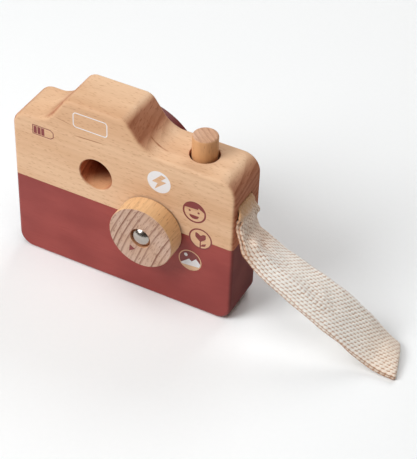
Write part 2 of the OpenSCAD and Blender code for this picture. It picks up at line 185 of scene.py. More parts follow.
class Graph:
    """Node graph of a material or of the world."""

    def __init__(self, owner: Union[bpy.types.Material, bpy.types.World]) -> None:
        """Empties the owner's node tree.

        Args:
            owner: The material or the world that is drawn.
        """
        owner.use_nodes = True
        self.owner = owner
        self.tree = owner.node_tree
        self.tree.nodes.clear()

    def add(self, kind: str, settings: dict | None = None, sockets: dict | None = None,
            output: int = 0) -> Wire | None:
        """Adds a node, sets it up and feeds it.

        Args:
            kind: Type of the node.
            settings: The node's own settings, which are set first.
            sockets: Values or wires for its inputs, by name or number.
            output: Number of the output to return.

        Returns:
            The chosen output, or None where the node has none.
        """
        node = self.tree.nodes.new(kind)
        for name, value in (settings or {}).items():
            setattr(node, name, value)
        for key, value in (sockets or {}).items():
            if isinstance(value, Wire):
                self.tree.links.new(value.socket, node.inputs[key])
            else:
                node.inputs[key].default_value = value
        return Wire(self, node.outputs[output]) if node.outputs else None

    def vector(self, operation: str, sockets: dict, output: int = 0) -> Wire:
        """Adds one Vector Math node."""
        return self.add("ShaderNodeVectorMath", {"operation": operation}, sockets, output)

    def place(self) -> Wire:
        """Object coordinates in millimetres."""
        at = self.add("ShaderNodeTexCoord", output=3)
        return self.vector("SCALE", {0: at, "Scale": 1 / MM})

    def split(self, vector: Wire) -> tuple[Wire, Wire, Wire]:
        """The three parts of a vector."""
        first = self.add("ShaderNodeSeparateXYZ", None, {0: vector})
        return first, first.output(1), first.output(2)

    def join(self, x: Term, y: Term, z: Term) -> Wire:
        """A vector of three parts."""
        return self.add("ShaderNodeCombineXYZ", None, {0: x, 1: y, 2: z})

    def grained(self, axis: Axis) -> tuple[Wire, Wire, Wire, Wire]:
        """Reads the place and the surface of a piece of wood by its grain.

        Args:
            axis: Direction of the grain.

        Returns:
            The place along the grain and in two directions across it, and how squarely the surface
            cuts the grain, from 0 to 1.
        """
        parts = self.split(self.place())
        along = parts[axis.value]
        p, q = (part for index, part in enumerate(parts) if index != axis.value)
        normal = self.split(self.add("ShaderNodeNewGeometry", output=1))[axis.value]
        return along, p, q, abs(normal).ease(0.3, 0.95)

    def stretched(self, along: Wire, p: Wire, q: Wire, scale: Flat) -> Wire:
        """The place for a pattern that has one scale along the grain and another across it."""
        return self.join(along * scale[0], p * scale[1], q * scale[1])

    def noise(self, vector: Wire, scale: float = 1.0, detail: float = 2.0, rough: float = 0.5) -> Wire:
        """Noise from about 0 to 1."""
        feed = {"Vector": vector, "Scale": scale, "Detail": detail, "Roughness": rough}
        return self.add("ShaderNodeTexNoise", None, feed)

    def cells(self, vector: Wire, scale: float = 1.0) -> Wire:
        """Distance to the nearest of many scattered points."""
        return self.add("ShaderNodeTexVoronoi", None, {"Vector": vector, "Scale": scale})

    def mix(self, first: Tone, second: Tone, share: Term, blend: str = "MIX") -> Wire:
        """Mixes two colours by a share."""
        settings = {"data_type": "RGBA", "blend_type": blend}
        return self.add("ShaderNodeMix", settings, {0: share, 6: first, 7: second}, output=2)

    def bump(self, height: Wire, depth: float, strength: float = 1.0) -> Wire:
        """Normals of a surface that is raised by a height, to a depth in millimetres."""
        feed = {"Height": height, "Distance": depth * MM, "Strength": strength}
        return self.add("ShaderNodeBump", None, feed)

    def surface(self, **sockets: object) -> bpy.types.Material:
        """Ends the graph in a Principled shader.

        Args:
            **sockets: Values or wires by the socket's name, with _ for a space.

        Returns:
            The finished material.
        """
        named = {key.replace("_", " "): value for key, value in sockets.items()}
        shader = self.add("ShaderNodeBsdfPrincipled", None, named)
        self.add("ShaderNodeOutputMaterial", None, {"Surface": shader})
        return self.owner


# Finishes


@dataclass(frozen=True)
class Streak:
    """A dark line in the wood, from one point to another."""

    start: Point
    end: Point
    half_width: float
    depth: float
    core_share: float = 0.2
    fade_in: float = 0.3
    fade_out: float = 0.6


@dataclass(frozen=True)
class Wood:
    """Lacquered beech: rings about a pith, long pores, ray flecks, and darker end grain that is partly
    painted shade; it can take painted shade deepening along Y.
    """

    name: str
    grain: Axis
    pith: Flat
    pale: Colour = srgb(226, 189, 154)
    warm: Colour = srgb(211, 168, 131)
    pore_tone: Colour = srgb(158, 100, 64)
    # Tint on end grain: the wood's own darker end grain, partly painted shade.
    end_grain_and_shade_tint: Colour = (0.68, 0.42, 0.37, 1.0)
    ring: float = 3.4
    sway: float = 5.0
    late_from: float = 0.25
    late_to: float = 0.88
    late_end: Flat = (0.9, 1.0)
    strong_run: Flat = (0.2, 0.7)
    wander_scale: Flat = (0.012, 0.03)
    tone_scale: Flat = (0.01, 0.05)
    tone_run: Flat = (0.3, 0.7)
    pore_scale: Flat = (0.16, 1.5)
    pore_run: Flat = (0.52, 0.74)
    fleck_scale: Flat = (0.22, 0.9)
    fleck_run: Flat = (0.08, 0.3)
    ray_scale: Point = (0.3, 1.6, 0.05)
    ray_run: Flat = (0.5, 0.72)
    ring_share: float = 0.12
    end_ring_share: float = 0.45
    pore_share: float = 0.62
    ray_share: float = 0.6
    roughness: float = 0.46
    specular: float = 0.16
    # Painted shade that deepens along Y, as in a bore; white leaves the wood as it is.
    deep_shade_tint: Colour = (1.0, 1.0, 1.0, 1.0)
    deep_shade_run: Flat = (-10.0, 4.0)
    streaks: tuple[Streak, ...] = ()

    def _streak(self, graph: Graph, at: Wire, streak: Streak) -> Wire:
        """Mask of one streak.

        Args:
            graph: Graph of the material.
            at: Place on the piece, in millimetres.
            streak: The streak to draw.

        Returns:
            Its strength, which fades towards both ends.
        """
        run = Vector(streak.end) - Vector(streak.start)
        way = graph.vector("SUBTRACT", {0: at, 1: streak.start})
        share = graph.vector("DOT_PRODUCT", {0: way, 1: run / run.length_squared}, output=1)
        foot = graph.vector("SCALE", {0: tuple(run), "Scale": share})
        off = graph.vector("DISTANCE", {0: way, 1: foot}, output=1)
        fade = share.ease(0.0, streak.fade_in) * (1 - share.ease(streak.fade_out, 1.0))
        core = streak.half_width * streak.core_share
        return (1 - off.ease(core, streak.half_width)) * fade * streak.depth

    @cached_property
    def material(self) -> bpy.types.Material:
        """Draws the finish.

        Returns:
            The material.
        """
        g = Graph(bpy.data.materials.new(self.name))
        at = g.place()
        along, p, q, cut = g.grained(self.grain)
        wander = g.noise(g.stretched(along, p, q, self.wander_scale)) - 0.5
        side = Vector((self.pith[1], -self.pith[0])).normalized()
        tangent = p * side.x + q * side.y
        spread = g.join(p - self.pith[0], q - self.pith[1], 0.0)
        reach = g.vector("LENGTH", {0: spread}, output=1)
        year = (reach + wander * self.sway) / self.ring
        phase = year.fraction()
        strong = g.noise(g.join(year.floor() * 3.7, 0.0, 0.0), detail=0.0).ease(*self.strong_run)
        late = phase.ease(self.late_from, self.late_to) * (1 - phase.ease(*self.late_end)) * strong
        lines = g.stretched(along, p, q, self.pore_scale)
        pores = g.noise(lines, detail=3.0, rough=0.6).ease(*self.pore_run)
        flecks = 1 - g.cells(g.stretched(along, p, q, self.fleck_scale)).ease(*self.fleck_run)
        fan = g.join(*(part * scale for part, scale in zip((tangent, reach, along), self.ray_scale)))
        rays = g.noise(fan, detail=3.0, rough=0.6).ease(*self.ray_run)
        tone = g.noise(g.stretched(along, p, q, self.tone_scale), detail=3.0).ease(*self.tone_run)
        colour = g.mix(self.pale, self.warm, tone)
        colour = g.mix(colour, self.pore_tone, late * (cut * self.end_ring_share + self.ring_share))
        colour = g.mix(colour, self.pore_tone, (pores * 0.4 + flecks * 0.6) * self.pore_share * (1 - cut))
        colour = g.mix(colour, self.pore_tone, rays * cut * self.ray_share)
        # End grain tinted darker: partly its own colour, partly painted shade.
        colour = g.mix(colour, self.end_grain_and_shade_tint, cut, "MULTIPLY")
        for streak in self.streaks:
            colour = g.mix(colour, self.pore_tone, self._streak(g, at, streak))
        # Painted shade that deepens along Y.
        colour = g.mix(colour, self.deep_shade_tint, g.split(at)[1].ease(*self.deep_shade_run), "MULTIPLY")
        height = tone * 0.3 - pores * 0.5 - late * 0.4
        return g.surface(Base_Color=colour, Roughness=pores * 0.16 + cut * 0.35 + self.roughness,
                         Specular_IOR_Level=self.specular, Normal=g.bump(height, 0.06, 0.5))


@dataclass(frozen=True)
class Paint:
    """Satin paint on wood, through which the grain just shows. Its end faces are darker: partly paint
    soaked into the end grain, partly painted shade.
    """

    name: str
    grain: Axis = Axis.X
    tone: Colour = srgb(155, 65, 58)
    deep: Colour = srgb(138, 52, 47)
    # Multiplies end faces darker: paint soaked into the end grain and painted shade.
    soaked_and_shade: Colour = (0.5, 0.6, 0.6, 1.0)
    roughness: float = 0.34
    grain_scale: Flat = (0.12, 1.6)
    cloud_scale: Flat = (0.03, 0.06)
    speck_scale: Flat = (0.22, 0.22)

    @cached_property
    def material(self) -> bpy.types.Material:
        """Draws the finish.

        Returns:
            The material.
        """
        g = Graph(bpy.data.materials.new(self.name))
        along, p, q, cut = g.grained(self.grain)
        grain = g.noise(g.stretched(along, p, q, self.grain_scale), detail=3.0, rough=0.6)
        cloud = g.noise(g.stretched(along, p, q, self.cloud_scale), detail=3.0)
        specks = 1 - g.cells(g.stretched(along, p, q, self.speck_scale)).ease(0.02, 0.05)
        colour = g.mix(self.tone, self.deep, cloud.ease(0.3, 0.7))
        colour = g.mix(colour, self.deep, grain.ease(0.5, 0.75) * 0.5 + specks * 0.4)
        # End faces darkened: partly soaked paint, partly painted shade.
        colour = g.mix(colour, self.soaked_and_shade, cut, "MULTIPLY")
        dull = cloud * 0.1 + grain * 0.1 + cut * 0.35 + self.roughness
        return g.surface(Base_Color=colour, Roughness=dull, Specular_IOR_Level=0.35,
                         Normal=g.bump(grain, 0.05, 0.35))


@dataclass(frozen=True)
class Ink:
    """Printed ink, slightly uneven where it lies on the grain."""

    name: str
    tone: Colour
    thin: Colour
    grain_scale: Flat = (0.3, 1.8)

    @cached_property
    def material(self) -> bpy.types.Material:
        """Draws the finish.

        Returns:
            The material.
        """
        g = Graph(bpy.data.materials.new(self.name))
        grain = g.noise(g.stretched(*g.split(g.place()), self.grain_scale), detail=3.0, rough=0.6)
        colour = g.mix(self.tone, self.thin, grain.ease(0.55, 0.8) * 0.6)
        return g.surface(Base_Color=colour, Roughness=grain * 0.2 + 0.45, Normal=g.bump(grain, 0.03, 0.3))


@dataclass(frozen=True)
class Steel:
    """Satin nickel-plated steel."""

    name: str
    tone: Colour = srgb(206, 202, 196)
    worn: Colour = srgb(176, 172, 166)
    roughness: float = 0.3

    @cached_property
    def material(self) -> bpy.types.Material:
        """Draws the finish.

        Returns:
            The material.
        """
        g = Graph(bpy.data.materials.new(self.name))
        at = g.place()
        grain = g.noise(at, 2.2, 4.0, 0.6)
        scratch = g.cells(at, 1.6).ease(0.0, 0.12)
        colour = g.mix(self.worn, self.tone, scratch * 0.6 + grain * 0.4)
        return g.surface(Base_Color=colour, Metallic=1.0, Roughness=grain * 0.18 + self.roughness,
                         Normal=g.bump(grain, 0.02, 0.4))


@dataclass(frozen=True)
class Acrylic:
    """Clear acrylic with faint handling marks."""

    name: str

    @cached_property
    def material(self) -> bpy.types.Material:
        """Draws the finish.

        Returns:
            The material.
        """
        g = Graph(bpy.data.materials.new(self.name))
        haze = g.noise(g.place(), 0.25, 4.0, 0.6)
        tint = g.mix(srgb(250, 253, 253), srgb(240, 248, 249), haze)
        return g.surface(Base_Color=tint, Roughness=haze.ease(0.5, 0.9) * 0.06 + 0.01,
                         Transmission_Weight=1.0, IOR=1.49)


@dataclass(frozen=True)
class Nylon:
    """Dark moulded nylon."""

    name: str
    tone: Colour = srgb(74, 64, 56)

    @cached_property
    def material(self) -> bpy.types.Material:
        """Draws the finish.

        Returns:
            The material.
        """
        g = Graph(bpy.data.materials.new(self.name))
        grain = g.noise(g.place(), 3.0, 3.0)
        colour = g.mix(self.tone, srgb(54, 46, 40), grain)
        return g.surface(Base_Color=colour, Roughness=grain * 0.2 + 0.4, Normal=g.bump(grain, 0.02, 0.3))


@dataclass(frozen=True)
class Cotton:
    """Unbleached cotton webbing with painted shade between its yarns, painted highlight on their crests,
    painted shade near the root and a darker far end.
    """

    name: str
    # Painted highlight on the yarns' crests.
    crest: Colour = srgb(255, 253, 247)
    yarn: Colour = srgb(250, 241, 231)
    # Painted shade in the hollows between yarns; darker fibres take it too.
    hollow_shade: Colour = srgb(186, 142, 112)
    # Darker towards the loop's far end.
    far_end_tint: Colour = (0.88, 0.80, 0.73, 1.0)
    # Painted shade near the root, where the strap leaves the slot.
    root_shade: Colour = (0.88, 0.73, 0.62, 1.0)
    frayed: Colour = srgb(208, 158, 108)
    far_end_run: Flat = (122.0, 146.0)
    root_shade_run: Flat = (66.0, 84.0)
    frayed_run: Flat = (63.0, 70.0)
    weave: str = "weave"
    chart: str = "webbing"

    @cached_property
    def material(self) -> bpy.types.Material:
        """Draws the finish.

        Returns:
            The material.
        """
        g = Graph(bpy.data.materials.new(self.name))
        height = g.add("ShaderNodeAttribute", {"attribute_name": self.weave}, output=2)
        u, v, _ = g.split(g.add("ShaderNodeUVMap", {"uv_map": self.chart}))
        at = g.place()
        fuzz = g.noise(at, 2.4, 4.0, 0.65)
        shade = g.noise(g.join(u * 0.5, v * 0.5, 0.0), detail=3.0)
        twist = (u * 19.0 + v * 26.0 + fuzz * 3.0).sine() * 0.5 + 0.5
        # Colour by the woven height: painted shade in the hollows, painted highlight on the crests.
        colour = g.mix(self.hollow_shade, self.yarn, height.ease(0.06, 0.36))
        colour = g.mix(colour, self.crest, height.ease(0.28, 0.72) * (shade * 0.6 + 0.55))
        colour = g.mix(colour, self.hollow_shade, fuzz.ease(0.6, 0.85) * 0.25 + twist * 0.05)
        x, _, z = g.split(at)
        # Darker towards the loop's far end.
        colour = g.mix(colour, self.far_end_tint, x.ease(*self.far_end_run), "MULTIPLY")
        # Painted shade that fades out along the strap from the root.
        root = (1 - x.ease(*self.root_shade_run)) * (fuzz * 0.6 + 0.6)
        colour = g.mix(colour, self.root_shade, root, "MULTIPLY")
        colour = g.mix(colour, self.frayed, z.ease(*self.frayed_run) * 0.85)
        return g.surface(Base_Color=colour, Roughness=fuzz * 0.1 + 0.82, Sheen_Weight=0.4,
                         Specular_IOR_Level=0.2, Normal=g.bump(twist * 0.5 + fuzz, 0.12, 0.6))


@dataclass(frozen=True)
class Backdrop:
    """Matt white paper for the floor."""

    name: str
    tone: Colour = (0.93, 0.95, 0.96, 1.0)

    @cached_property
    def material(self) -> bpy.types.Material:
        """Draws the finish.

        Returns:
            The material.
        """
        g = Graph(bpy.data.materials.new(self.name))
        tooth = g.noise(g.place(), 0.4, 3.0)
        colour = g.mix(self.tone, (0.91, 0.93, 0.94, 1.0), tooth)
        return g.surface(Base_Color=colour, Roughness=tooth * 0.1 + 0.8, Specular_IOR_Level=0.1)


Finish = Union[Wood, Paint, Ink, Steel, Acrylic, Nylon, Cotton, Backdrop]

BLOCK_WOOD = Wood("beech_block", Axis.X, pith=(60.0, -210.0), streaks=(
    Streak((-29.0, -14.0, 84.6), (-6.0, -14.0, 85.8), 0.45, 0.85),
    Streak((-38.0, -14.0, 92.2), (-26.0, -14.0, 90.2), 0.35, 0.6),
    Streak((10.5, -4.1, 92.6), (17.5, -5.4, 88.6), 0.8, 1.0),
    Streak((13.5, -4.7, 89.6), (23.0, -6.3, 88.3), 0.8, 1.0),
))
BASE_PAINT = Paint("burgundy_base")
RING_PAINT = Paint("burgundy_ring", Axis.Y, tone=srgb(122, 46, 43), deep=srgb(108, 38, 35))
DIAL_WOOD = Wood("beech_dial", Axis.Y, pith=(200.0, -36.0), ring=2.9, sway=1.6, late_from=0.5,
                 ring_share=0.2, end_ring_share=0.8, ray_share=0.7, pore_share=0.8,
                 pale=srgb(231, 192, 147), warm=srgb(220, 175, 126), pore_tone=srgb(142, 88, 58),
                 end_grain_and_shade_tint=(0.74, 0.78, 1.1, 1.0), specular=0.3)
BUTTON_WOOD = Wood("beech_button", Axis.Z, pith=(90.0, 70.0), ring=2.4, sway=1.5,
                   pale=srgb(222, 170, 122), warm=srgb(206, 150, 100), end_grain_and_shade_tint=(0.88, 1.0, 1.4, 1.0),
                   specular=0.3)
# Viewfinder bore: a warmer copy of the block's beech, with painted light on its near wall and painted shade
# deeper in.
FINDER_SHADE_WOOD = Wood("beech_finder_shade", Axis.X, pith=(60.0, -210.0), pale=srgb(232, 176, 132),
                   warm=srgb(218, 156, 112), specular=0.05, deep_shade_tint=(0.35, 0.16, 0.13, 1.0))
# Dial counterbore: a darker copy of the dial's beech, painted shade in the recess.
SINK_SHADE_WOOD = Wood("beech_sink_shade", Axis.Y, pith=(200.0, -36.0), pale=srgb(204, 150, 114),
                 warm=srgb(188, 134, 98))
TUBE_WOOD = Wood("beech_tube", Axis.Y, pith=(-90.0, -60.0), ring=3.0)
DOWEL_WOOD = Wood("beech_dowel", Axis.Y, pith=(20.0, 40.0), ring=2.2)
DARK_INK = Ink("burgundy_ink", srgb(128, 52, 50), srgb(160, 92, 80))
WHITE_INK = Ink("white_ink", srgb(228, 226, 227), srgb(214, 208, 205))
RIVET_STEEL = Steel("satin_steel", tone=srgb(188, 180, 172), worn=srgb(150, 144, 138), roughness=0.14)
SPRING_STEEL = Steel("spring_steel", roughness=0.36)
LENS_ACRYLIC = Acrylic("clear_acrylic")
WASHER_NYLON = Nylon("dark_nylon")
STRAP_COTTON = Cotton("cotton_webbing")
FLOOR_PAPER = Backdrop("paper_floor")


# Shared modelling


EYE_Y = -14.0
LENS_Y = 14.0
END_X = 62.5
LENS_X = -14.6
LENS_Z = 46.2
DIAL_X = 17.3
DIAL_Z = 45.4
BUTTON_X = 38.1
BUTTON_Y = 1.0
SLOT_Y = -2.7
SLOT_Z = 69.0
TURN_STEPS = 128
SAME_POINT = 1e-4
ON_PLANE = 1e-5


def eye_side(x: float, z: float, out: float = 0.0) -> Matrix:
    """Puts a shape that stands on XY onto the eye side, with its Z pointing out of the body."""
    return Matrix.Translation((x, EYE_Y - out, z)) @ Matrix.Rotation(math.pi / 2, 4, "X")


def lens_side(x: float, z: float) -> Matrix:
    """Puts a shape that stands on XY onto the lens side, with its Z pointing out of the body."""
    return Matrix.Translation((x, LENS_Y, z)) @ Matrix.Rotation(-math.pi / 2, 4, "X")


def mesh_of(name: str, bm: bmesh.types.BMesh) -> bpy.types.Mesh:
    """Turns a bmesh into a mesh.

    Args:
        name: Name of the mesh.
        bm: The bmesh; it is freed.

    Returns:
        The mesh.
    """
    mesh = bpy.data.meshes.new(name)
    bm.to_mesh(mesh)
    bm.free()
    return mesh


def put_in_scene(name: str, data: bpy.types.ID) -> bpy.types.Object:
    """Makes an object and links it into the scene.

    Args:
        name: Name of the object.
        data: Its mesh, light or camera.

    Returns:
        The object.
    """
    made = bpy.data.objects.new(name, data)
    bpy.context.scene.collection.objects.link(made)
    return made


def absorb(bm: bmesh.types.BMesh, other: bmesh.types.BMesh) -> None:
    """Adds one bmesh to another.

    Args:
        bm: The bmesh that grows.
        other: The bmesh that is added; it is freed.
    """
    mesh = mesh_of("absorbed", other)
    bm.from_mesh(mesh)
    bpy.data.meshes.remove(mesh)


def round_over(bm: bmesh.types.BMesh, geom: list, run: float, segments: int = 6, edges: bool = False,
               clamped: bool = False) -> None:
    """Rounds corners or edges.

    Args:
        bm: The mesh.
        geom: Its corners or edges to round.
        run: Length that the rounding takes up on each side.
        segments: Number of its steps.
        edges: Whether edges are rounded, not corners.
        clamped: Whether roundings stop where they meet.
    """
    bmesh.ops.bevel(bm, geom=geom, offset=run, offset_type="OFFSET", segments=segments, profile=0.5,
                    affect="EDGES" if edges else "VERTICES", material=-1, clamp_overlap=clamped)


def thicken(bm: bmesh.types.BMesh, way: Point) -> None:
    """Draws flat faces out into closed shapes.

    Args:
        bm: The mesh of flat faces.
        way: How far and where they are drawn.
    """
    made = bmesh.ops.extrude_face_region(bm, geom=bm.faces[:])
    moved = [item for item in made["geom"] if isinstance(item, bmesh.types.BMVert)]
    bmesh.ops.translate(bm, verts=moved, vec=way)
    bmesh.ops.recalc_face_normals(bm, faces=bm.faces[:])


def saw(bm: bmesh.types.BMesh, at: Point, ahead: Point, drop: bool = False) -> None:
    """Cuts a mesh along a plane.

    Args:
        bm: The mesh.
        at: A point of the plane.
        ahead: Direction across the plane.
        drop: Whether what lies ahead of the plane is removed.
    """
    bmesh.ops.bisect_plane(bm, geom=bm.verts[:] + bm.edges[:] + bm.faces[:], dist=ON_PLANE, plane_co=at,
                           plane_no=ahead, clear_outer=drop)


def finish_piece(name: str, bm: bmesh.types.BMesh, finishes: Sequence[Finish], body: Body,
                 replaces: str | None = None, crease: float = 38.0,
                 even: bool = True) -> bpy.types.Object:
    """Makes an object of a bmesh in millimetres, dresses it and lets it ride on a body.

    Args:
        name: Name of the piece.
        bm: Its mesh, in place; it is freed.
        finishes: Its finishes, in the order of its faces' material numbers.
        body: Body that it rides on.
        replaces: CAD node that it stands for, if any.
        crease: Angle in degrees over which an edge stays sharp.
        even: Whether normals follow the larger faces.

    Returns:
        The finished object.
    """
    bmesh.ops.scale(bm, vec=(MM, MM, MM), verts=bm.verts[:])
    for face in bm.faces:
        face.smooth = True
    for edge in bm.edges:
        edge.smooth = edge.is_manifold and edge.calc_face_angle(0.0) < math.radians(crease)
    mesh = mesh_of(name, bm)
    for finish in finishes:
        mesh.materials.append(finish.material)
    piece = put_in_scene(name, mesh)
    if even:
        piece.modifiers.new("even_normals", "WEIGHTED_NORMAL").keep_sharp = True
    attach(piece, body.value)
    if replaces:
        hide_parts(replaces)
    return piece


class Turning:
    """Half section of a turned piece: a wire in the XZ plane that is spun about Z."""

    def __init__(self, radius: float, height: float) -> None:
        """Starts the section.

        Args:
            radius: Radius of its first point.
            height: Height of its first point.
        """
        self.bm = bmesh.new()
        self.first = self.bm.verts.new((radius, 0.0, height))
        self.tip = self.first
        self.rounds: list[tuple[bmesh.types.BMVert, float]] = []

    def to(self, radius: float, height: float, rounding: float = 0.0) -> "Turning":
        """Draws a line, whose end is rounded afterwards.

        Args:
            radius: Radius of the line's end.
            height: Height of the line's end.
            rounding: Radius of the round-over there.

        Returns:
            The section itself.
        """
        self.tip = bmesh.ops.extrude_vert_indiv(self.bm, verts=[self.tip])["verts"][0]
        self.tip.co = (radius, 0.0, height)
        if rounding:
            self.rounds.append((self.tip, rounding))
        return self

    def dome(self, rise: float, steps: int = 12) -> "Turning":
        """Draws an arc from the tip up to the axis.

        Args:
            rise: Height of the arc.
            steps: Number of its steps.

        Returns:
            The section itself.
        """
        radius = self.tip.co.x
        ball = (radius * radius + rise * rise) / (2 * rise)
        centre = (0.0, 0.0, self.tip.co.z + rise - ball)
        made = bmesh.ops.spin(self.bm, geom=[self.tip], cent=centre, axis=(0, 1, 0), dvec=(0, 0, 0),
                              angle=-math.asin(radius / ball), steps=steps, use_merge=False,
                              use_duplicate=False)
        self.tip = made["geom_last"][0]
        self.tip.co.x = 0.0
        return self

    def turn(self, place: Matrix, close: bool = False, steps: int = TURN_STEPS) -> bmesh.types.BMesh:
        """Spins the section into a closed piece.

        Args:
            place: Where its axis goes.
            close: Whether the section ends where it starts, as on a ring.
            steps: Number of steps round the axis.

        Returns:
            The piece in place.
        """
        if close:
            self.bm.edges.new((self.tip, self.first))
        for vert, rounding in self.rounds:
            round_over(self.bm, [vert], rounding)
        bmesh.ops.spin(self.bm, geom=self.bm.verts[:] + self.bm.edges[:], cent=(0, 0, 0), axis=(0, 0, 1),
                       dvec=(0, 0, 0), angle=math.tau, steps=steps, use_merge=True, use_duplicate=False)
        bmesh.ops.remove_doubles(self.bm, verts=self.bm.verts[:], dist=SAME_POINT)
        bmesh.ops.recalc_face_normals(self.bm, faces=self.bm.faces[:])
        bmesh.ops.transform(self.bm, matrix=place, verts=self.bm.verts[:])
        return self.bm


def carve(blank: bmesh.types.BMesh, cutters: Iterable[bmesh.types.BMesh]) -> bmesh.types.BMesh:
    """Cuts shapes out of a blank, one after the other.

    Args:
        blank: The blank; it is freed.
        cutters: The shapes to cut out; they are freed.

    Returns:
        The carved blank.
    """
    made = [put_in_scene("carving", mesh_of("carving", bm)) for bm in (blank, *cutters)]
    for cutter in made[1:]:
        cut = made[0].modifiers.new("cut", "BOOLEAN")
        cut.operation = "DIFFERENCE"
        cut.solver = "EXACT"
        cut.object = cutter
    graph = bpy.context.evaluated_depsgraph_get()
    carved = bpy.data.meshes.new_from_object(made[0].evaluated_get(graph))
    result = bmesh.new()
    result.from_mesh(carved)
    bpy.data.meshes.remove(carved)
    for item in made:
        bpy.data.meshes.remove(item.data)
    return result


# The body


@dataclass
class BeechBlock:
    """The block with its humped top, bores, slot and painted base."""

    shoulder: float = 88.3
    other_shoulder: float = 87.2
    hump: float = 104.0
    hump_x: float = -14.7
    hump_top: float = 33.6
    hump_foot: float = 57.0
    bottom_run: float = 8.0
    top_run: float = 9.5
    other_top_run: float = 8.0
    foot_run: float = 6.6
    hump_run: float = 3.0
    corner_steps: int = 12
    edge: float = 2.0
    paint_line: float = 47.6
    paint_skin: float = 2.1
    finder_radius: float = 9.0
    finder_z: float = 64.5
    finder_depth: float = 29.0
    finder_break: float = 0.5
    finder_ease: float = 0.4
    finder_lip: float = 0.6
    seat_radius: float = 31.05
    seat_depth: float = 5.0
    rivet_radius: float = 2.55
    rivet_depth: float = 15.3
    well_radius: float = 10.0
    well_top: float = 76.3
    hole_radius: float = 7.5
    hole_break: float = 0.3
    hole_ease: float = 0.2
    slot_size: Point = (10.5, 14.6, 8.0)
    slot_x: float = 58.25
    dowel_radius: float = 2.05
    dowel_depth: float = 26.0
    dowel_x: float = 57.0
    small_steps: int = 32
    over: float = 1.0
    touch: float = 0.02

    def corners(self) -> list[tuple[float, float, float]]:
        """Lists the corners of the outline.

        Returns:
            Each corner's place along the body, its height and the run of its rounding.
        """
        foot, top = self.hump_foot / 2, self.hump_top / 2
        return [
            (-END_X, 0.0, self.bottom_run),
            (END_X, 0.0, self.bottom_run),
            (END_X, self.shoulder, self.top_run),
            (self.hump_x + foot, self.shoulder, self.foot_run),
            (self.hump_x + top, self.hump, self.hump_run),
            (self.hump_x - top, self.hump, self.hump_run),
            (self.hump_x - foot, self.other_shoulder, self.foot_run),
            (-END_X, self.other_shoulder, self.other_top_run),
        ]

    def blank(self) -> bmesh.types.BMesh:
        """Shapes the block before it is drilled.

        Returns:
            The block with its edges rounded over.
        """
        bm = bmesh.new()
        corners = self.corners()
        verts = [bm.verts.new((x, EYE_Y, z)) for x, z, _ in corners]
        bm.faces.new(verts)
        for vert, (_, _, run) in zip(verts, corners):
            round_over(bm, [vert], run, self.corner_steps)
        thicken(bm, (0.0, LENS_Y - EYE_Y, 0.0))
        rims = [edge for edge in bm.edges if abs(edge.verts[0].co.y - edge.verts[1].co.y) < SAME_POINT]
        round_over(bm, rims, self.edge, edges=True)
        return bm

    def hole(self, radius: float, depth: float, place: Matrix,
             steps: int = TURN_STEPS) -> bmesh.types.BMesh:
        """A plain round hole, which starts just outside the block."""
        section = Turning(0.0, -depth).to(radius, -depth).to(radius, self.over).to(0.0, self.over)
        return section.turn(place, steps=steps)

    def cutters(self) -> list[bmesh.types.BMesh]:
        """Shapes all that is drilled or milled out of the block.

        Returns:
            The viewfinder, the hub's seat, the rivet's hole, the button's well, the strap's slot and
            the dowel's hole.
        """
        flare = self.finder_radius + self.finder_break + self.over
        finder = (Turning(0.0, -self.finder_depth).to(self.finder_radius, -self.finder_depth)
                  .to(self.finder_radius, -self.finder_break, self.finder_ease)
                  .to(flare, self.over).to(0.0, self.over))
        brim = self.shoulder + self.over
        well = (Turning(0.0, -self.over).to(self.well_radius, -self.over)
                .to(self.well_radius, self.well_top).to(self.hole_radius, self.well_top)
                .to(self.hole_radius, self.shoulder - self.hole_break, self.hole_ease)
                .to(self.hole_radius + self.hole_break + self.over, brim).to(0.0, brim))
        slot = bmesh.new()
        bmesh.ops.create_cube(slot, size=1.0)
        bmesh.ops.scale(slot, vec=self.slot_size, verts=slot.verts[:])
        bmesh.ops.translate(slot, verts=slot.verts[:], vec=(self.slot_x, SLOT_Y, SLOT_Z))
        return [
            finder.turn(eye_side(LENS_X, self.finder_z)),
            self.hole(self.seat_radius, self.seat_depth, lens_side(LENS_X, LENS_Z)),
            self.hole(self.rivet_radius, self.rivet_depth, eye_side(DIAL_X, DIAL_Z), self.small_steps),
            well.turn(Matrix.Translation((BUTTON_X, BUTTON_Y, 0.0))),
            slot,
            self.hole(self.dowel_radius, self.dowel_depth, lens_side(self.dowel_x, SLOT_Z),
                      self.small_steps),
        ]

    def finish_number(self, face: bmesh.types.BMFace) -> int:
        """Chooses the finish of a face.

        Args:
            face: A face of the block.

        Returns:
            2 in the viewfinder, 1 outside and below the paint line, and 0 elsewhere.
        """
        at = face.calc_center_median()
        off_axis = math.hypot(at.x - LENS_X, at.z - self.finder_z)
        # The viewfinder's faces take the finish with painted shade.
        if off_axis < self.finder_radius + self.touch and at.y > EYE_Y + self.finder_lip:
            return 2
        ends = END_X - self.paint_skin
        outside = abs(at.y) > LENS_Y - self.paint_skin or abs(at.x) > ends or at.z < self.paint_skin
        return int(outside and at.z < self.paint_line)

    def build(self) -> list[bpy.types.Object]:
        """Makes the block.

        Returns:
            The block.
        """
        bm = carve(self.blank(), self.cutters())
        saw(bm, (0.0, 0.0, self.paint_line), (0.0, 0.0, 1.0))
        for face in bm.faces:
            face.material_index = self.finish_number(face)
        return [finish_piece("beech_block", bm, (BLOCK_WOOD, BASE_PAINT, FINDER_SHADE_WOOD), Body.CAMERA,
                             "body_block")]


# Printed symbols


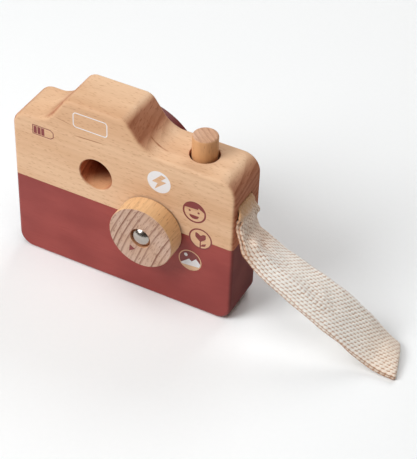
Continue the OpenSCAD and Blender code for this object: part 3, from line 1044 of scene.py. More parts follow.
class Stencil:
    """Flat shapes of one ink, drawn on XY and then given the thickness of a print."""

    first_layer = 0.03
    next_layer = 0.02
    disc_steps = 64
    ring_steps = 96

    def __init__(self, finish: Finish, level: int) -> None:
        """Starts an empty stencil.

        Args:
            finish: Its ink, or the wood that it leaves bare.
            level: Its place in the pile; a higher one is printed over a lower one.
        """
        self.finish = finish
        self.thickness = self.first_layer + self.next_layer * level
        self.bm = bmesh.new()

    def disc(self, radius: float, centre: Flat = (0.0, 0.0), cuts: Sequence[tuple[Flat, Flat]] = (),
             squeeze: float = 1.0) -> "Stencil":
        """Adds a disc, with parts of it cut away.

        Args:
            radius: Radius of the disc.
            centre: Place of its centre.
            cuts: Points and directions of straight cuts; what lies ahead of a cut is removed.
            squeeze: Factor on its height.

        Returns:
            The stencil itself.
        """
        bm = bmesh.new()
        bmesh.ops.create_circle(bm, cap_ends=True, segments=self.disc_steps, radius=radius)
        bmesh.ops.scale(bm, vec=(1.0, squeeze, 1.0), verts=bm.verts[:])
        bmesh.ops.translate(bm, verts=bm.verts[:], vec=(*centre, 0.0))
        for at, ahead in cuts:
            saw(bm, (*at, 0.0), (*ahead, 0.0), drop=True)
        absorb(self.bm, bm)
        return self

    def ring(self, outer: float, inner: float) -> "Stencil":
        """Adds a ring about the middle.

        Args:
            outer: Its outer radius.
            inner: Its inner radius.

        Returns:
            The stencil itself.
        """
        bm = bmesh.new()
        for radius in (outer, inner):
            bmesh.ops.create_circle(bm, cap_ends=False, segments=self.ring_steps, radius=radius)
        bmesh.ops.bridge_loops(bm, edges=bm.edges[:])
        absorb(self.bm, bm)
        return self

    def patch(self, points: Sequence[Flat], rounding: float = 0.0, line: float = 0.0) -> "Stencil":
        """Adds a patch with rounded corners.

        Args:
            points: Its corners.
            rounding: Run of the rounding at each corner.
            line: Width of its outline, where only that is wanted.

        Returns:
            The stencil itself.
        """
        bm = bmesh.new()
        verts = [bm.verts.new((x, y, 0.0)) for x, y in points]
        bm.faces.new(verts)
        if rounding:
            round_over(bm, verts, rounding, clamped=True)
        if line:
            inner = bm.faces[:]
            bmesh.ops.inset_region(bm, faces=inner, use_boundary=True, use_even_offset=True,
                                   thickness=line, depth=0.0)
            bmesh.ops.delete(bm, geom=inner, context="FACES_ONLY")
        absorb(self.bm, bm)
        return self

    def printed(self, number: int) -> bmesh.types.BMesh:
        """Gives the shapes their thickness.

        Args:
            number: Their material number.

        Returns:
            The thin closed layer.
        """
        thicken(self.bm, (0.0, 0.0, self.thickness))
        for face in self.bm.faces:
            face.material_index = number
        return self.bm


def print_symbol(name: str, place: Matrix, stencils: Sequence[Stencil], body: Body) -> bpy.types.Object:
    """Prints stencils over each other on a face.

    Args:
        name: Name of the symbol.
        place: Where its middle goes.
        stencils: Its stencils, from the first to the last that is printed.
        body: Body that it rides on.

    Returns:
        The printed symbol.
    """
    bm = bmesh.new()
    for number, stencil in enumerate(stencils):
        absorb(bm, stencil.printed(number))
    bmesh.ops.transform(bm, matrix=place, verts=bm.verts[:])
    return finish_piece(name, bm, [stencil.finish for stencil in stencils], body, even=False)


@dataclass
class PrintedSymbols:
    """The symbols on the eye side of the block: their places, radii and lines."""

    bolt_at: Flat = (21.3, 74.5)
    portrait_at: Flat = (41.0, 63.7)
    flower_at: Flat = (44.8, 48.2)
    hills_at: Flat = (39.4, 31.9)
    battery_at: Flat = (-44.6, 79.8)
    finder_at: Flat = (-17.1, 94.5)
    radius: float = 6.4
    portrait_line: float = 0.9
    flower_line: float = 0.8
    hills_line: float = 0.55
    battery_line: float = 0.42
    finder_line: float = 0.5
    bolt_ease: float = 0.15
    hair_radius: float = 6.0
    eye_radius: float = 0.6
    mouth_radius: float = 2.6
    mouth_squeeze: float = 0.85
    bloom_ease: float = 0.65
    leaf_ease: float = 0.3
    stem_half: float = 0.32
    stem_top: float = -1.4
    stem_foot: float = -5.8
    far_steepness: float = 1.1
    near_steepness: float = 0.85
    sun_radius: float = 1.0
    case_ease: float = 0.3
    bar_width: float = 1.8
    bar_half: float = 2.15
    bar_ease: float = 0.1
    finder_width: float = 19.5
    finder_height: float = 9.0
    finder_ease: float = 1.9

    def bolt(self) -> bpy.types.Object:
        """White disc with a lightning bolt of bare wood.

        Returns:
            The printed symbol.
        """
        zigzag = [(1.2, 4.8), (-3.9, -0.6), (-0.8, -0.8), (-2.4, -4.8), (4.1, 1.0), (1.0, 1.2), (3.9, 4.1)]
        return print_symbol("bolt_symbol", eye_side(*self.bolt_at), [
            Stencil(WHITE_INK, 0).disc(self.radius),
            Stencil(BLOCK_WOOD, 1).patch(zigzag, self.bolt_ease),
        ], Body.CAMERA)

    def portrait(self) -> bpy.types.Object:
        """Ring with a plain smiling face.

        Returns:
            The printed symbol.
        """
        ring = Stencil(DARK_INK, 0).ring(self.radius, self.radius - self.portrait_line)
        fringe, parting, mouth = (0.0, 2.2), (2.1, 3.4), (-0.1, -1.9)
        hair = Stencil(DARK_INK, 1)
        hair.disc(self.hair_radius, cuts=[(fringe, (0.06, -1.0)), (parting, (1.0, 0.0))])
        hair.disc(self.hair_radius, cuts=[(parting, (-0.6, -1.0)), (parting, (-1.0, 0.0))])
        smile = Stencil(DARK_INK, 0)
        for eye in ((-2.6, 0.4), (2.3, 0.3)):
            smile.disc(self.eye_radius, eye)
        smile.disc(self.mouth_radius, mouth, [(mouth, (0.0, 1.0))], self.mouth_squeeze)
        stencils = [ring, hair, smile]
        return print_symbol("portrait_symbol", eye_side(*self.portrait_at), stencils, Body.CAMERA)

    def flower(self) -> bpy.types.Object:
        """Disc of bare wood with a ring and a tulip.

        Returns:
            The printed symbol.
        """
        bloom = [(-2.9, 3.5), (-1.4, 3.3), (0.0, 2.0), (1.4, 3.3), (2.9, 3.5),
                 (2.9, 0.6), (0.0, -1.9), (-2.9, 0.6)]
        leaf = [(0.1, -4.7), (0.9, -3.2), (3.3, -2.0), (2.5, -4.0)]
        stem = [(-self.stem_half, self.stem_top), (self.stem_half, self.stem_top),
                (self.stem_half, self.stem_foot), (-self.stem_half, self.stem_foot)]
        rim = Stencil(DARK_INK, 1).ring(self.radius, self.radius - self.flower_line)
        return print_symbol("flower_symbol", eye_side(*self.flower_at), [
            Stencil(BLOCK_WOOD, 0).disc(self.radius),
            rim.patch(bloom, self.bloom_ease),
            Stencil(DARK_INK, 2).patch(stem),
            Stencil(DARK_INK, 3).patch(leaf, self.leaf_ease),
        ], Body.CAMERA)

    def hills(self) -> bpy.types.Object:
        """Disc with a dark sky, a small sun and two pale hills.

        Returns:
            The printed symbol.
        """
        far, near, sun, ground = (3.3, 2.2), (-0.5, 0.9), (-2.4, 3.0), ((0.0, -3.3), (0.1, -1.0))
        far_slopes = [(far, (side * self.far_steepness, 1.0)) for side in (1, -1)]
        near_slopes = [(near, (side * self.near_steepness, 1.0)) for side in (1, -1)]
        sky = self.radius - self.hills_line
        return print_symbol("hills_symbol", eye_side(*self.hills_at), [
            Stencil(BLOCK_WOOD, 0).disc(self.radius),
            Stencil(DARK_INK, 1).disc(sky),
            Stencil(BLOCK_WOOD, 2).disc(sky, cuts=far_slopes),
            Stencil(WHITE_INK, 3).disc(sky, cuts=[*far_slopes, ground]).disc(self.sun_radius, sun),
            Stencil(BLOCK_WOOD, 4).disc(sky, cuts=near_slopes),
            Stencil(WHITE_INK, 5).disc(sky, cuts=[*near_slopes, ground]),
        ], Body.CAMERA)

    def battery(self) -> bpy.types.Object:
        """Battery with three bars.

        Returns:
            The printed symbol.
        """
        case = [(-6.2, -2.9), (4.4, -2.9), (6.2, -1.5), (6.2, 1.5), (4.4, 2.9), (-6.2, 2.9)]
        dark = Stencil(DARK_INK, 0).patch(case, self.case_ease, self.battery_line)
        high = self.bar_half
        for left in (-5.4, -3.2, -1.0):
            right = left + self.bar_width
            dark.patch([(left, -high), (right, -high), (right, high), (left, high)], self.bar_ease)
        return print_symbol("battery_symbol", eye_side(*self.battery_at), [dark], Body.CAMERA)

    def finder(self) -> bpy.types.Object:
        """White outline on the hump.

        Returns:
            The printed symbol.
        """
        x, y = self.finder_width / 2, self.finder_height / 2
        box = [(-x, -y), (x, -y), (x, y), (-x, y)]
        white = Stencil(WHITE_INK, 0).patch(box, self.finder_ease, self.finder_line)
        return print_symbol("finder_symbol", eye_side(*self.finder_at), [white], Body.CAMERA)

    def build(self) -> list[bpy.types.Object]:
        """Prints all symbols."""
        return [self.bolt(), self.portrait(), self.flower(), self.hills(), self.battery(), self.finder()]


# Lens


@dataclass
class Lens:
    """The turning ring, the flanged tube that it turns on and the clear disc."""

    ring_radius: float = 36.0
    reach: float = 20.0
    mouth: float = 32.9
    lip: float = 31.08
    lip_front: float = 8.3
    back: float = 0.3
    tube: float = 31.0
    bore: float = 27.5
    flange: float = 32.6
    flange_back: float = 8.5
    flange_front: float = 11.9
    seat: float = 4.95
    glass: float = 29.5
    glass_back: float = 9.55
    glass_edge: float = 2.4
    glass_dome: float = 2.0
    glass_gap: float = 0.05
    dome_steps: int = 16
    wall_gap: float = 0.02
    ring_ease: float = 1.6
    flange_ease: float = 0.4
    ledge_ease: float = 0.3
    fine_ease: float = 0.2

    def ring(self) -> bpy.types.Object:
        """Turns the painted ring.

        Returns:
            The ring.
        """
        wall = (self.ring_radius - self.mouth) / 2 - self.wall_gap
        bm = (Turning(self.lip, self.back).to(self.ring_radius, self.back, self.ring_ease)
              .to(self.ring_radius, self.reach, wall).to(self.mouth, self.reach, wall)
              .to(self.mouth, self.lip_front).to(self.lip, self.lip_front, self.fine_ease)
              .turn(lens_side(LENS_X, LENS_Z), close=True))
        return finish_piece("lens_front_ring", bm, (RING_PAINT,), Body.LENS, "lens_ring")

    def hub(self) -> bpy.types.Object:
        """Turns the beech tube.

        Returns:
            The tube.
        """
        ledge, ledge_back = self.glass + self.glass_gap, self.glass_back - self.glass_gap
        bm = (Turning(self.bore, -self.seat).to(self.tube, -self.seat).to(self.tube, self.flange_back)
              .to(self.flange, self.flange_back, self.fine_ease)
              .to(self.flange, self.flange_front, self.flange_ease)
              .to(ledge, self.flange_front, self.ledge_ease).to(ledge, ledge_back)
              .to(self.bore, ledge_back, self.ledge_ease).turn(lens_side(LENS_X, LENS_Z), close=True))
        return finish_piece("lens_tube", bm, (TUBE_WOOD,), Body.CAMERA, "lens_hub")

    def disc(self) -> bpy.types.Object:
        """Turns the clear disc.

        Returns:
            The disc.
        """
        bm = (Turning(0.0, self.glass_back).to(self.glass, self.glass_back, self.fine_ease)
              .to(self.glass, self.glass_back + self.glass_edge).dome(self.glass_dome, self.dome_steps)
              .turn(lens_side(LENS_X, LENS_Z)))
        return finish_piece("lens_disc", bm, (LENS_ACRYLIC,), Body.CAMERA, "lens_glass")

    def build(self) -> list[bpy.types.Object]:
        """Makes the lens."""
        return [self.ring(), self.hub(), self.disc()]


# Dial


@dataclass
class ModeDial:
    """The turned dial, its printed pointer and its rivet."""

    x: float = DIAL_X
    z: float = DIAL_Z
    radius: float = 17.5
    back: float = 0.7
    front: float = 11.5
    edge: float = 0.5
    bore: float = 2.58
    sink: float = 5.6
    sink_depth: float = 1.6
    head: float = 5.2
    head_rise: float = 2.6
    head_seat: float = 10.1
    shank: float = 2.5
    grip: float = 15.0
    pointer_turn: float = 149.5
    pointer_from: float = 8.3
    pointer_to: float = 12.2
    pointer_half: float = 1.8
    pointer_ease: float = 0.25
    sink_ease: float = 0.25
    shank_ease: float = 0.4
    head_ease: float = 0.15
    touch: float = 0.02

    def knob(self) -> bpy.types.Object:
        """Turns the dial.

        Returns:
            The dial.
        """
        floor = self.front - self.sink_depth
        bm = (Turning(self.bore, self.back).to(self.radius, self.back, self.edge)
              .to(self.radius, self.front, self.edge).to(self.sink, self.front, self.sink_ease)
              .to(self.sink, floor).to(self.bore, floor).turn(eye_side(self.x, self.z), close=True))
        # Faces in the counterbore take the darker finish: painted shade.
        for face in bm.faces:
            at = face.calc_center_median()
            off_axis = math.hypot(at.x - self.x, at.z - self.z)
            face.material_index = int(off_axis < self.sink + self.touch)
        return finish_piece("turned_dial", bm, (DIAL_WOOD, SINK_SHADE_WOOD), Body.DIAL,
                            "mode_dial")

    def pointer(self) -> bpy.types.Object:
        """Prints the small arrow that points away from the rivet.

        Returns:
            The arrow.
        """
        arrow = [(-self.pointer_half, self.pointer_from), (self.pointer_half, self.pointer_from),
                 (0.0, self.pointer_to)]
        turn = Matrix.Rotation(math.radians(self.pointer_turn), 4, "Z")
        place = eye_side(self.x, self.z, self.front) @ turn
        dark = Stencil(DARK_INK, 0).patch(arrow, self.pointer_ease)
        return print_symbol("dial_pointer", place, [dark], Body.DIAL)

    def rivet(self) -> bpy.types.Object:
        """Turns the domed rivet.

        Returns:
            The rivet.
        """
        bm = (Turning(0.0, -self.grip).to(self.shank, -self.grip, self.shank_ease)
              .to(self.shank, self.head_seat).to(self.head, self.head_seat, self.head_ease)
              .dome(self.head_rise).turn(eye_side(self.x, self.z)))
        return finish_piece("domed_rivet", bm, (RIVET_STEEL,), Body.CAMERA, "dial_rivet")

    def build(self) -> list[bpy.types.Object]:
        """Makes the dial and what holds it."""
        return [self.knob(), self.pointer(), self.rivet()]


# Button


@dataclass
class PressButton:
    """The button and the spring under it."""

    x: float = BUTTON_X
    y: float = BUTTON_Y
    radius: float = 6.5
    top: float = 99.8
    edge: float = 1.0
    flange: float = 9.92
    flange_low: float = 72.1
    flange_top: float = 76.1
    stub: float = 4.5
    stub_low: float = 68.1
    plug_top: float = 50.1
    travel: float = 5.0
    coil: float = 6.0
    wire: float = 1.0
    curls: int = 6
    gap: float = 0.2
    curl_steps: int = 40
    wire_steps: int = 10
    stub_ease: float = 0.4
    flange_ease: float = 0.3

    def button(self) -> bpy.types.Object:
        """Turns the button.

        Returns:
            The button.
        """
        bm = (Turning(0.0, self.stub_low).to(self.stub, self.stub_low, self.stub_ease)
              .to(self.stub, self.flange_low).to(self.flange, self.flange_low, self.flange_ease)
              .to(self.flange, self.flange_top, self.flange_ease)
              .to(self.radius, self.flange_top).to(self.radius, self.top, self.edge).to(0.0, self.top)
              .turn(Matrix.Translation((self.x, self.y, 0.0))))
        return finish_piece("turned_button", bm, (BUTTON_WOOD,), Body.BUTTON,
                            "shutter_button")

    def spring(self) -> bpy.types.Object:
        """Winds the coil.

        Returns:
            The spring.
        """
        low = self.plug_top + self.wire / 2 + self.gap
        rise = self.flange_low - self.plug_top - self.wire - 2 * self.gap
        steps = self.curls * self.curl_steps
        bm = bmesh.new()
        place = Matrix.Translation((self.coil, 0.0, low)) @ Matrix.Rotation(math.pi / 2, 4, "X")
        bmesh.ops.create_circle(bm, cap_ends=False, segments=self.wire_steps, radius=self.wire / 2,
                                matrix=place)
        start = bm.edges[:]
        made = bmesh.ops.spin(bm, geom=bm.verts[:] + bm.edges[:], cent=(0, 0, 0), axis=(0, 0, 1),
                              dvec=(0, 0, rise / steps), angle=math.tau * self.curls, steps=steps,
                              use_merge=False, use_duplicate=False)
        last = [item for item in made["geom_last"] if isinstance(item, bmesh.types.BMEdge)]
        for rim in (start, last):
            bmesh.ops.contextual_create(bm, geom=rim)
        bmesh.ops.recalc_face_normals(bm, faces=bm.faces[:])
        bmesh.ops.translate(bm, verts=bm.verts[:], vec=(self.x, self.y, 0.0))
        piece = finish_piece("coil_spring", bm, (SPRING_STEEL,), Body.CAMERA,
                             "button_spring", even=False)
        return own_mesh(piece)

    def build(self) -> list[bpy.types.Object]:
        """Makes the button and its spring."""
        return [self.button(), self.spring()]


# Strap


@dataclass
class Row:
    """A place on the strap's route: its point, directions, share of the width and shape of the section."""

    at: Vector
    across: Vector
    width: float
    up: Vector
    bend: float = 0.0
    lift: float = 0.0

    def towards(self, other: "Row", share: float, at: Vector) -> "Row":
        """Blends this row with another.

        Args:
            other: The other row.
            share: Share of the way to it.
            at: Point of the new row.

        Returns:
            The new row.
        """
        return Row(at, self.across.lerp(other.across, share).normalized(),
                   self.width + (other.width - self.width) * share,
                   self.up.lerp(other.up, share).normalized(),
                   self.bend + (other.bend - self.bend) * share,
                   self.lift + (other.lift - self.lift) * share)


def ramp(value: float, low: float, high: float) -> float:
    """Rises evenly from 0 at low to 1 at high, and falls where low is the larger."""
    return max(0.0, min(1.0, (value - low) / (high - low)))


def across(tilt: float, yaw: float) -> Vector:
    """Direction across the webbing, at a tilt and a yaw in degrees."""
    t, y = math.radians(tilt), math.radians(yaw)
    return Vector((math.cos(t) * math.sin(y), math.cos(t) * math.cos(y), math.sin(t)))


def between(a: Vector, b: Vector, c: Vector, d: Vector, t: float) -> Vector:
    """Point between b and c on a smooth curve through four points.

    Args:
        a: Point before b.
        b: Start of the stretch.
        c: End of the stretch.
        d: Point after c.
        t: Share of the stretch.

    Returns:
        The point on the curve.
    """
    step = (c - b).length
    out = (c - a) * step / (step + (b - a).length)
    into = (d - b) * step / (step + (d - c).length)
    return b + t * out + t * t * (3 * (c - b) - 2 * out - into) + t ** 3 * (2 * (b - c) + out + into)


@dataclass
class WristStrap:
    """The webbing loop: out of the slot, down to the floor, folded back and round the cross dowel."""

    width: float = 24.0
    thickness: float = 1.4
    pinched: float = 14.0
    slot_y: float = SLOT_Y
    slot_z: float = SLOT_Z
    reach: float = 86.0
    dowel_inset: float = 5.5
    bight: float = 3.0
    gap: float = 0.3
    layer_share: float = 1.32
    columns: int = 15
    column_steps: int = 5
    float_length: float = 2.5
    float_steps: int = 6
    relief: float = 0.32
    lean: float = 0.3
    crease: float = -0.3
    bend_run: float = 2.5
    ridge: float = 0.25
    route_steps: int = 24
    edge_power: int = 14
    scallop: float = 0.03
    scallop_from: float = 0.9
    ragged: float = 0.045
    ragged_scale: float = 0.21
    ragged_from: float = 0.75
    ragged_run: Flat = (2.0, 8.0)
    yarn_drift: float = 0.35
    drift_scale: float = 0.06
    ridge_power: float = 0.65
    crest_power: float = 0.45
    yarn_even: float = 0.88
    yarn_uneven: float = 0.24
    crumple: float = 1.7
    crumple_seed: float = 5.5
    crumple_scale: Flat = (0.22, 2.0)
    crumple_from: Flat = (0.8, 2.4)
    root_share: float = 0.7
    root_end: Flat = (18.0, 10.0)
    long_share: float = 0.3
    long_end: Flat = (62.0, 48.0)
    # Painted shade in the crumple's valleys: how it grows with depth, where it starts and how strong it is.
    valley_gain: float = 2.6
    valley_from: float = 0.3
    valley_shade_share: float = 0.4
    arch_power: float = 1.6

    # Shares along the loop: reach, slot height, width across; then tilt, yaw and share of the width
    middle_shares = (
        (0.000, 0.900, -0.12, -14, 0, 0.8), (0.015, 0.825, -0.165, -13, -1, 0.8),
        (0.045, 0.765, -0.20, -15, -3, 0.9), (0.095, 0.715, -0.215, -17, -3, 1),
        (0.145, 0.665, -0.225, -13, -2, 1), (0.250, 0.580, -0.23, -6, 0, 1),
        (0.355, 0.505, -0.21, 0, 0, 1), (0.460, 0.425, -0.18, 6, 0, 1),
        (0.560, 0.340, -0.125, 11, 0, 1), (0.650, 0.245, -0.06, 14, 0, 1),
        (0.740, 0.145, 0.01, 13, 0, 1), (0.835, 0.050, 0.055, 7, -3, 1),
        (0.900, 0.020, 0.045, 4, -10, 1), (0.965, 0.004, 0.03, 1, -17, 1),
    )
    # Shares of the ways out of the slot: out to the layer, height above the dowel and across;
    # then tilt and spread
    over_shares = ((-0.60, 0.97, 0, 0, 0), (0.25, 0.60, -0.02, 2, 0.06), (1.00, -0.60, -0.06, -7, 0.42))
    under_shares = ((-1.60, -0.65, 0, 0, 0), (0.85, -0.92, -0.02, 0, 0.06), (1.15, -1.45, -0.06, -5, 0.42))
    # Degrees by which the near edge hangs down, and millimetres by which the far end arches, along the loop
    bends = (4, 14, 24, 32, 36, 36, 34, 28, 18, 8, 2, 0, 0, 0)
    lifts = (0, 0, 0, 0, 0, 0, 0, 0, 0, 0.3, 1.0, 1.9, 2.0, 1.4)
    fold_turns = (45, 0, -45)
    fold_width = 0.95
    bight_turns = (270, 225, 180, 135, 90)

    def route(self) -> list[Row]:
        """Lays out the closed loop.

        Returns:
            The rows that it passes through, from the slot and back.
        """
        layer = self.thickness * self.layer_share
        low = self.thickness / 2 + layer / 2
        pinch = self.pinched / self.width
        shares = self.middle_shares
        start = END_X + low + self.gap
        mid = [Vector((start + s[0] * self.reach, s[2] * self.width, low + s[1] * self.slot_z))
               for s in shares]
        over = [across(s[3], s[4]) for s in shares]
        last = len(mid) - 1
        along = [(mid[min(i + 1, last)] - mid[max(i - 1, 0)]).normalized() for i in range(last + 1)]
        up = [along[i].cross(over[i]).normalized() for i in range(last + 1)]

        def layer_row(i: int, side: int) -> Row:
            """A row of the upper or the lower layer."""
            at = mid[i] + up[i] * (side * layer / 2)
            return Row(at, over[i], shares[i][5], up[i], self.bends[i], self.lifts[i])

        def way_out(s: Sequence[float], side: int) -> Row:
            """Places a row between the slot and a layer.

            Args:
                s: Its shares.
                side: 1 for the upper layer, -1 for the lower one.

            Returns:
                The row.
            """
            run = layer_row(0, side).at.x - END_X
            at = Vector((END_X + s[0] * run, self.slot_y + s[2] * self.width,
                         self.slot_z + s[1] * self.bight))
            return Row(at, across(s[3], 0.0), pinch + (1 - pinch) * s[4], up[0])

        rows = [way_out(s, 1) for s in self.over_shares]
        rows += [layer_row(i, 1) for i in range(last + 1)]
        for turn in map(math.radians, self.fold_turns):
            swing = along[last] * math.cos(turn) + up[last] * math.sin(turn)
            at = mid[last] + swing * (layer / 2)
            rows.append(Row(at, over[last], self.fold_width, up[last], 0.0, self.lifts[last]))
        rows += [layer_row(i, -1) for i in range(last, -1, -1)]
        rows += [way_out(s, -1) for s in reversed(self.under_shares)]
        dowel = Vector((END_X - self.dowel_inset, self.slot_y, self.slot_z))
        for turn in map(math.radians, self.bight_turns):
            swing = Vector((math.cos(turn), 0.0, math.sin(turn)))
            rows.append(Row(dowel + swing * self.bight, across(0.0, 0.0), pinch, up[0]))
        return rows

    def stations(self) -> tuple[list[Row], float]:
        """Evenly spaced places along the loop.

        Returns:
            The places, a whole number of them to each yarn float, and the loop's length.
        """
        rows = self.route()
        count = len(rows)
        fine: list[Row] = []
        steps = self.route_steps
        for i, b in enumerate(rows):
            a, c, d = rows[i - 1], rows[(i + 1) % count], rows[(i + 2) % count]
            for k in range(steps):
                t = k / steps
                fine.append(b.towards(c, t, between(a.at, b.at, c.at, d.at, t)))
        fine.append(fine[0])
        reached = [0.0]
        for here, there in zip(fine, fine[1:]):
            reached.append(reached[-1] + (there.at - here.at).length)
        length = reached[-1]
        total = round(length / self.float_length) * self.float_steps
        even: list[Row] = []
        i = 0
        for k in range(total):
            goal = length * k / total
            while reached[i + 1] < goal:
                i += 1
            t = (goal - reached[i]) / (reached[i + 1] - reached[i])
            a, b = fine[i], fine[i + 1]
            even.append(a.towards(b, t, a.at.lerp(b.at, t)))
        return even, length

    def yarn(self, u: float, v: float, side: int) -> float:
        """Height of the woven surface.

        Args:
            u: Place across, in columns of warp.
            v: Place along, in yarn floats.
            side: 1 outside the loop, -1 inside it.

        Returns:
            0 between the yarns to about 1 on top of one.
        """
        column = min(int(u), self.columns - 1)
        shift = noise.noise(Vector((column * 2.3, v * self.drift_scale, side * 9.0)))
        phase = v + 0.5 * (column % 2) + self.yarn_drift * shift
        number = math.floor(phase)
        fu, fv = u - column - 0.5, phase - number - 0.5
        ridge = max(0.0, math.cos(math.pi * (fu - self.lean * fv * side)))
        crest = max(0.0, math.cos(math.pi * fv))
        uneven = noise.noise(Vector((column * 5.3 + side * 40.0, number * 3.7, 0.5)))
        size = self.yarn_even + self.yarn_uneven * uneven
        return ridge ** self.ridge_power * crest ** self.crest_power * size

    def fold(self, place: Row, c: float) -> float:
        """Height of the folds, which are strong at the root and weak along the loop.

        Args:
            place: The place along the loop.
            c: Place across, from -1 at the near edge to 1.

        Returns:
            The height, from -1 to 1.
        """
        x = place.at.x - END_X
        long, root = ramp(x, *self.long_end), ramp(x, *self.root_end)
        rough = ramp(x, *self.crumple_from) * (self.long_share * long + self.root_share * root)
        down, over = self.crumple_scale
        return noise.noise(Vector((place.at.z * down, c * over, self.crumple_seed))) * rough

    def selvedge(self, place: Row, c: float, v: float) -> float:
        """Makes the woven edges uneven.

        Args:
            place: The place along the loop.
            c: Place across, from -1 at the near edge to 1.
            v: Place along, in yarn floats.

        Returns:
            The shift across, as a share of half the width.
        """
        scallop = self.scallop * ramp(abs(c), self.scallop_from, 1.0) * math.cos(math.tau * v)
        free = ramp(place.at.x - END_X, *self.ragged_run) * ramp(abs(c), self.ragged_from, 1.0)
        bite = noise.noise(Vector((v * self.ragged_scale, math.copysign(7.0, c), 2.0)))
        return math.copysign(scallop, c) + bite * self.ragged * free

    def section(self, place: Row, thick: Vector, c: float, lift: float) -> Vector:
        """A point of the webbing's section, whose near edge hangs down and whose far end arches.

        Args:
            place: The place along the loop.
            thick: Direction of the webbing's thickness there, out of the loop.
            c: Place across, from -1 at the near edge to 1.
            lift: Height over the webbing's middle, out of the loop.

        Returns:
            The point.
        """
        half = place.width * self.width / 2
        facing = 1 if thick.dot(place.up) > 0 else -1
        run = max(0.0, (self.crease - c) * half)
        turn = math.radians(place.bend) * min(1.0, run / self.bend_run)
        span, drop = max(c, self.crease) * half, 0.0
        if turn > 1e-6:
            arc = min(run, self.bend_run)
            ball = arc / turn
            span -= ball * math.sin(turn) + (run - arc) * math.cos(turn)
            drop -= ball * (1 - math.cos(turn)) + (run - arc) * math.sin(turn)
        else:
            span -= run
        normal = thick * math.cos(turn) - place.across * (facing * math.sin(turn))
        off = (c - self.ridge) / (1 - self.ridge if c > self.ridge else 1 + self.ridge)
        arch = place.lift * (1 - abs(off) ** self.arch_power)
        raised = drop + arch + self.fold(place, c) * self.crumple
        return place.at + place.across * span + place.up * raised + normal * lift

    def build(self) -> list[bpy.types.Object]:
        """Weaves the loop.

        Returns:
            The dressed loop.
        """
        places, length = self.stations()
        rows = len(places)
        half = self.columns * self.column_steps
        bm = bmesh.new()
        bmesh.ops.create_grid(bm, x_segments=2 * half, y_segments=rows, size=1.0)
        weave = bm.verts.layers.float.new(STRAP_COTTON.weave)
        chart = bm.loops.layers.uv.new(STRAP_COTTON.chart)
        bm.verts.index_update()
        charted: list[Flat] = []
        ahead = [(places[(j + 1) % rows].at - places[j - 1].at).normalized() for j in range(rows)]
        out = [way.cross(place.across).normalized() for way, place in zip(ahead, places)]
        for vert in bm.verts:
            i, j = round((vert.co.x + 1) * half), round((vert.co.y + 1) * rows / 2)
            side = 1 if i <= half else -1
            u = (i if side == 1 else 2 * half - i) / self.column_steps
            v = j / self.float_steps
            place, thick = places[j % rows], out[j % rows]
            c = 2 * u / self.columns - 1
            height = self.yarn(u, v, side)
            swell = math.sqrt(max(0.0, 1 - abs(c) ** self.edge_power))
            lift = (self.thickness / 2 - self.relief * (1 - height)) * swell
            vert.co = self.section(place, thick, c + self.selvedge(place, c, v), side * lift)
            # The weave value falls in the crumple's valleys and towards the edges, which the cotton paints
            # as shade.
            depth = -self.valley_gain * self.fold(place, c) - self.valley_from
            vert[weave] = height * swell * (1 - self.valley_shade_share * ramp(depth, 0.0, 1.0))
            charted.append((u, v))
        for face in bm.faces:
            for loop in face.loops:
                loop[chart].uv = charted[loop.vert.index]
        bmesh.ops.remove_doubles(bm, verts=bm.verts[:], dist=SAME_POINT)
        bmesh.ops.recalc_face_normals(bm, faces=bm.faces[:])
        strap = finish_piece("webbing_loop", bm, (STRAP_COTTON,), Body.CAMERA, "wrist_strap",
                             crease=180.0, even=False)
        self.width * MM
        length * MM
        return [strap]


# What stays as the CAD made it


@dataclass
class InnerPieces:
    """CAD nodes that keep their shape and get a finish."""

    finishes: tuple[tuple[str, Finish], ...] = (
        ("dial_washer", WASHER_NYLON),
        ("button_plug", BASE_PAINT),
        ("strap_dowel", DOWEL_WOOD),
    )

    def build(self) -> list[bpy.types.Object]:
        """Dresses the nodes.

        Returns:
            The dressed nodes.
        """
        dressed = []
        for name, finish in self.finishes:
            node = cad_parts[name]
            for slot in node.material_slots:
                slot.material = finish.material
            dressed.append(node)
        return dressed


# Studio


@dataclass(frozen=True)
class Lamp:
    """A soft square light: its place and aim in metres, its side in metres and its power in watts."""

    name: str
    at: Point
    aim: Point
    size: float
    power: float

    def hang(self) -> None:
        """Hangs the light."""
        data = bpy.data.lights.new(self.name, "AREA")
        data.size = self.size
        data.energy = self.power
        light = put_in_scene(self.name, data)
        turn = (Vector(self.at) - Vector(self.aim)).to_track_quat("Z", "Y").to_matrix().to_4x4()
        light.matrix_world = Matrix.Translation(self.at) @ turn


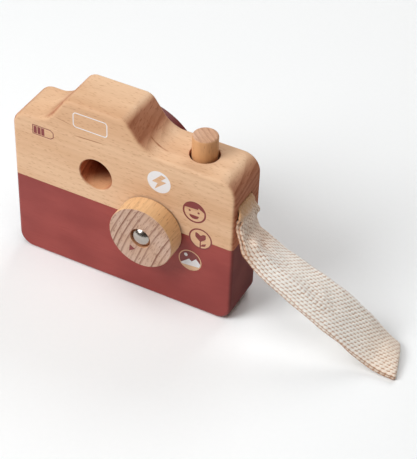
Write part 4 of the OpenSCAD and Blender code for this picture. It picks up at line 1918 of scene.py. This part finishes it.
@dataclass
class Studio:
    """Floor, soft light and the camera at the photographed angle."""

    focal_pixels: float = 1534.0
    long_side_pixels: float = 459.0
    sensor: float = 36.0
    azimuth: float = 26.32
    elevation: float = 40.70
    roll: float = 2.26
    distance: float = 806.7
    shift_right: float = 38.46
    shift_up: float = 18.75
    floor_size: float = 4.0
    sky: float = 0.06
    sky_tone: Colour = (1.0, 0.8, 0.62, 1.0)
    lamps: tuple[Lamp, ...] = (
        Lamp("key", (-0.60, -0.85, 0.95), (0.0, 0.0, 0.05), 0.7, 15.0),
        Lamp("back", (0.0, 0.9, 0.8), (0.05, 0.0, 0.05), 0.7, 5.2),
        Lamp("top", (0.05, -0.2, 1.15), (0.0, 0.0, 0.05), 0.8, 5.2),
    )

    def camera(self) -> None:
        """Sets the camera up."""
        a, e, r = (math.radians(v) for v in (self.azimuth, self.elevation, self.roll))
        back = Vector((math.sin(a) * math.cos(e), -math.cos(a) * math.cos(e), math.sin(e)))
        level = Vector((math.cos(a), math.sin(a), 0.0))
        tall = back.cross(level)
        right = level * math.cos(r) + tall * math.sin(r)
        up = tall * math.cos(r) - level * math.sin(r)
        at = (back * self.distance + right * self.shift_right + up * self.shift_up) * MM
        data = bpy.data.cameras.new("photo_view")
        data.sensor_width = self.sensor
        data.lens = self.sensor * self.focal_pixels / self.long_side_pixels
        view = put_in_scene("photo_view", data)
        turn = Matrix((right, up, back)).transposed().to_4x4()
        view.matrix_world = Matrix.Translation(at) @ turn
        bpy.context.scene.camera = view

    def floor(self) -> None:
        """Lays the paper floor."""
        bm = bmesh.new()
        bmesh.ops.create_grid(bm, x_segments=2, y_segments=2, size=self.floor_size / 2)
        mesh = mesh_of("floor", bm)
        mesh.materials.append(FLOOR_PAPER.material)
        sheet = put_in_scene("floor", mesh)

    def light(self) -> None:
        """Sets up the sky and the lamps."""
        world = bpy.data.worlds.new("studio")
        bpy.context.scene.world = world
        g = Graph(world)
        glow = g.add("ShaderNodeBackground", None, {"Color": self.sky_tone, "Strength": self.sky})
        g.add("ShaderNodeOutputWorld", None, {"Surface": glow})
        for lamp in self.lamps:
            lamp.hang()

    def build(self) -> list[bpy.types.Object]:
        """Sets the studio up.

        Returns:
            An empty list, because none of it belongs to the object.
        """
        bpy.context.scene.view_settings.view_transform = "Standard"
        self.camera()
        self.floor()
        self.light()
        return []


def main() -> None:
    """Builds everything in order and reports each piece."""
    logging.basicConfig(level=logging.INFO, format="%(name)s: %(message)s")
    assemblies = (Studio(), BeechBlock(), PrintedSymbols(), Lens(), ModeDial(), PressButton(),
                  WristStrap(), InnerPieces())
    for assembly in assemblies:
        for piece in assembly.build():
            log.info("%s: %s, %d faces", type(assembly).__name__, piece.name, len(piece.data.polygons))


if __name__ == "__main__":
    main()
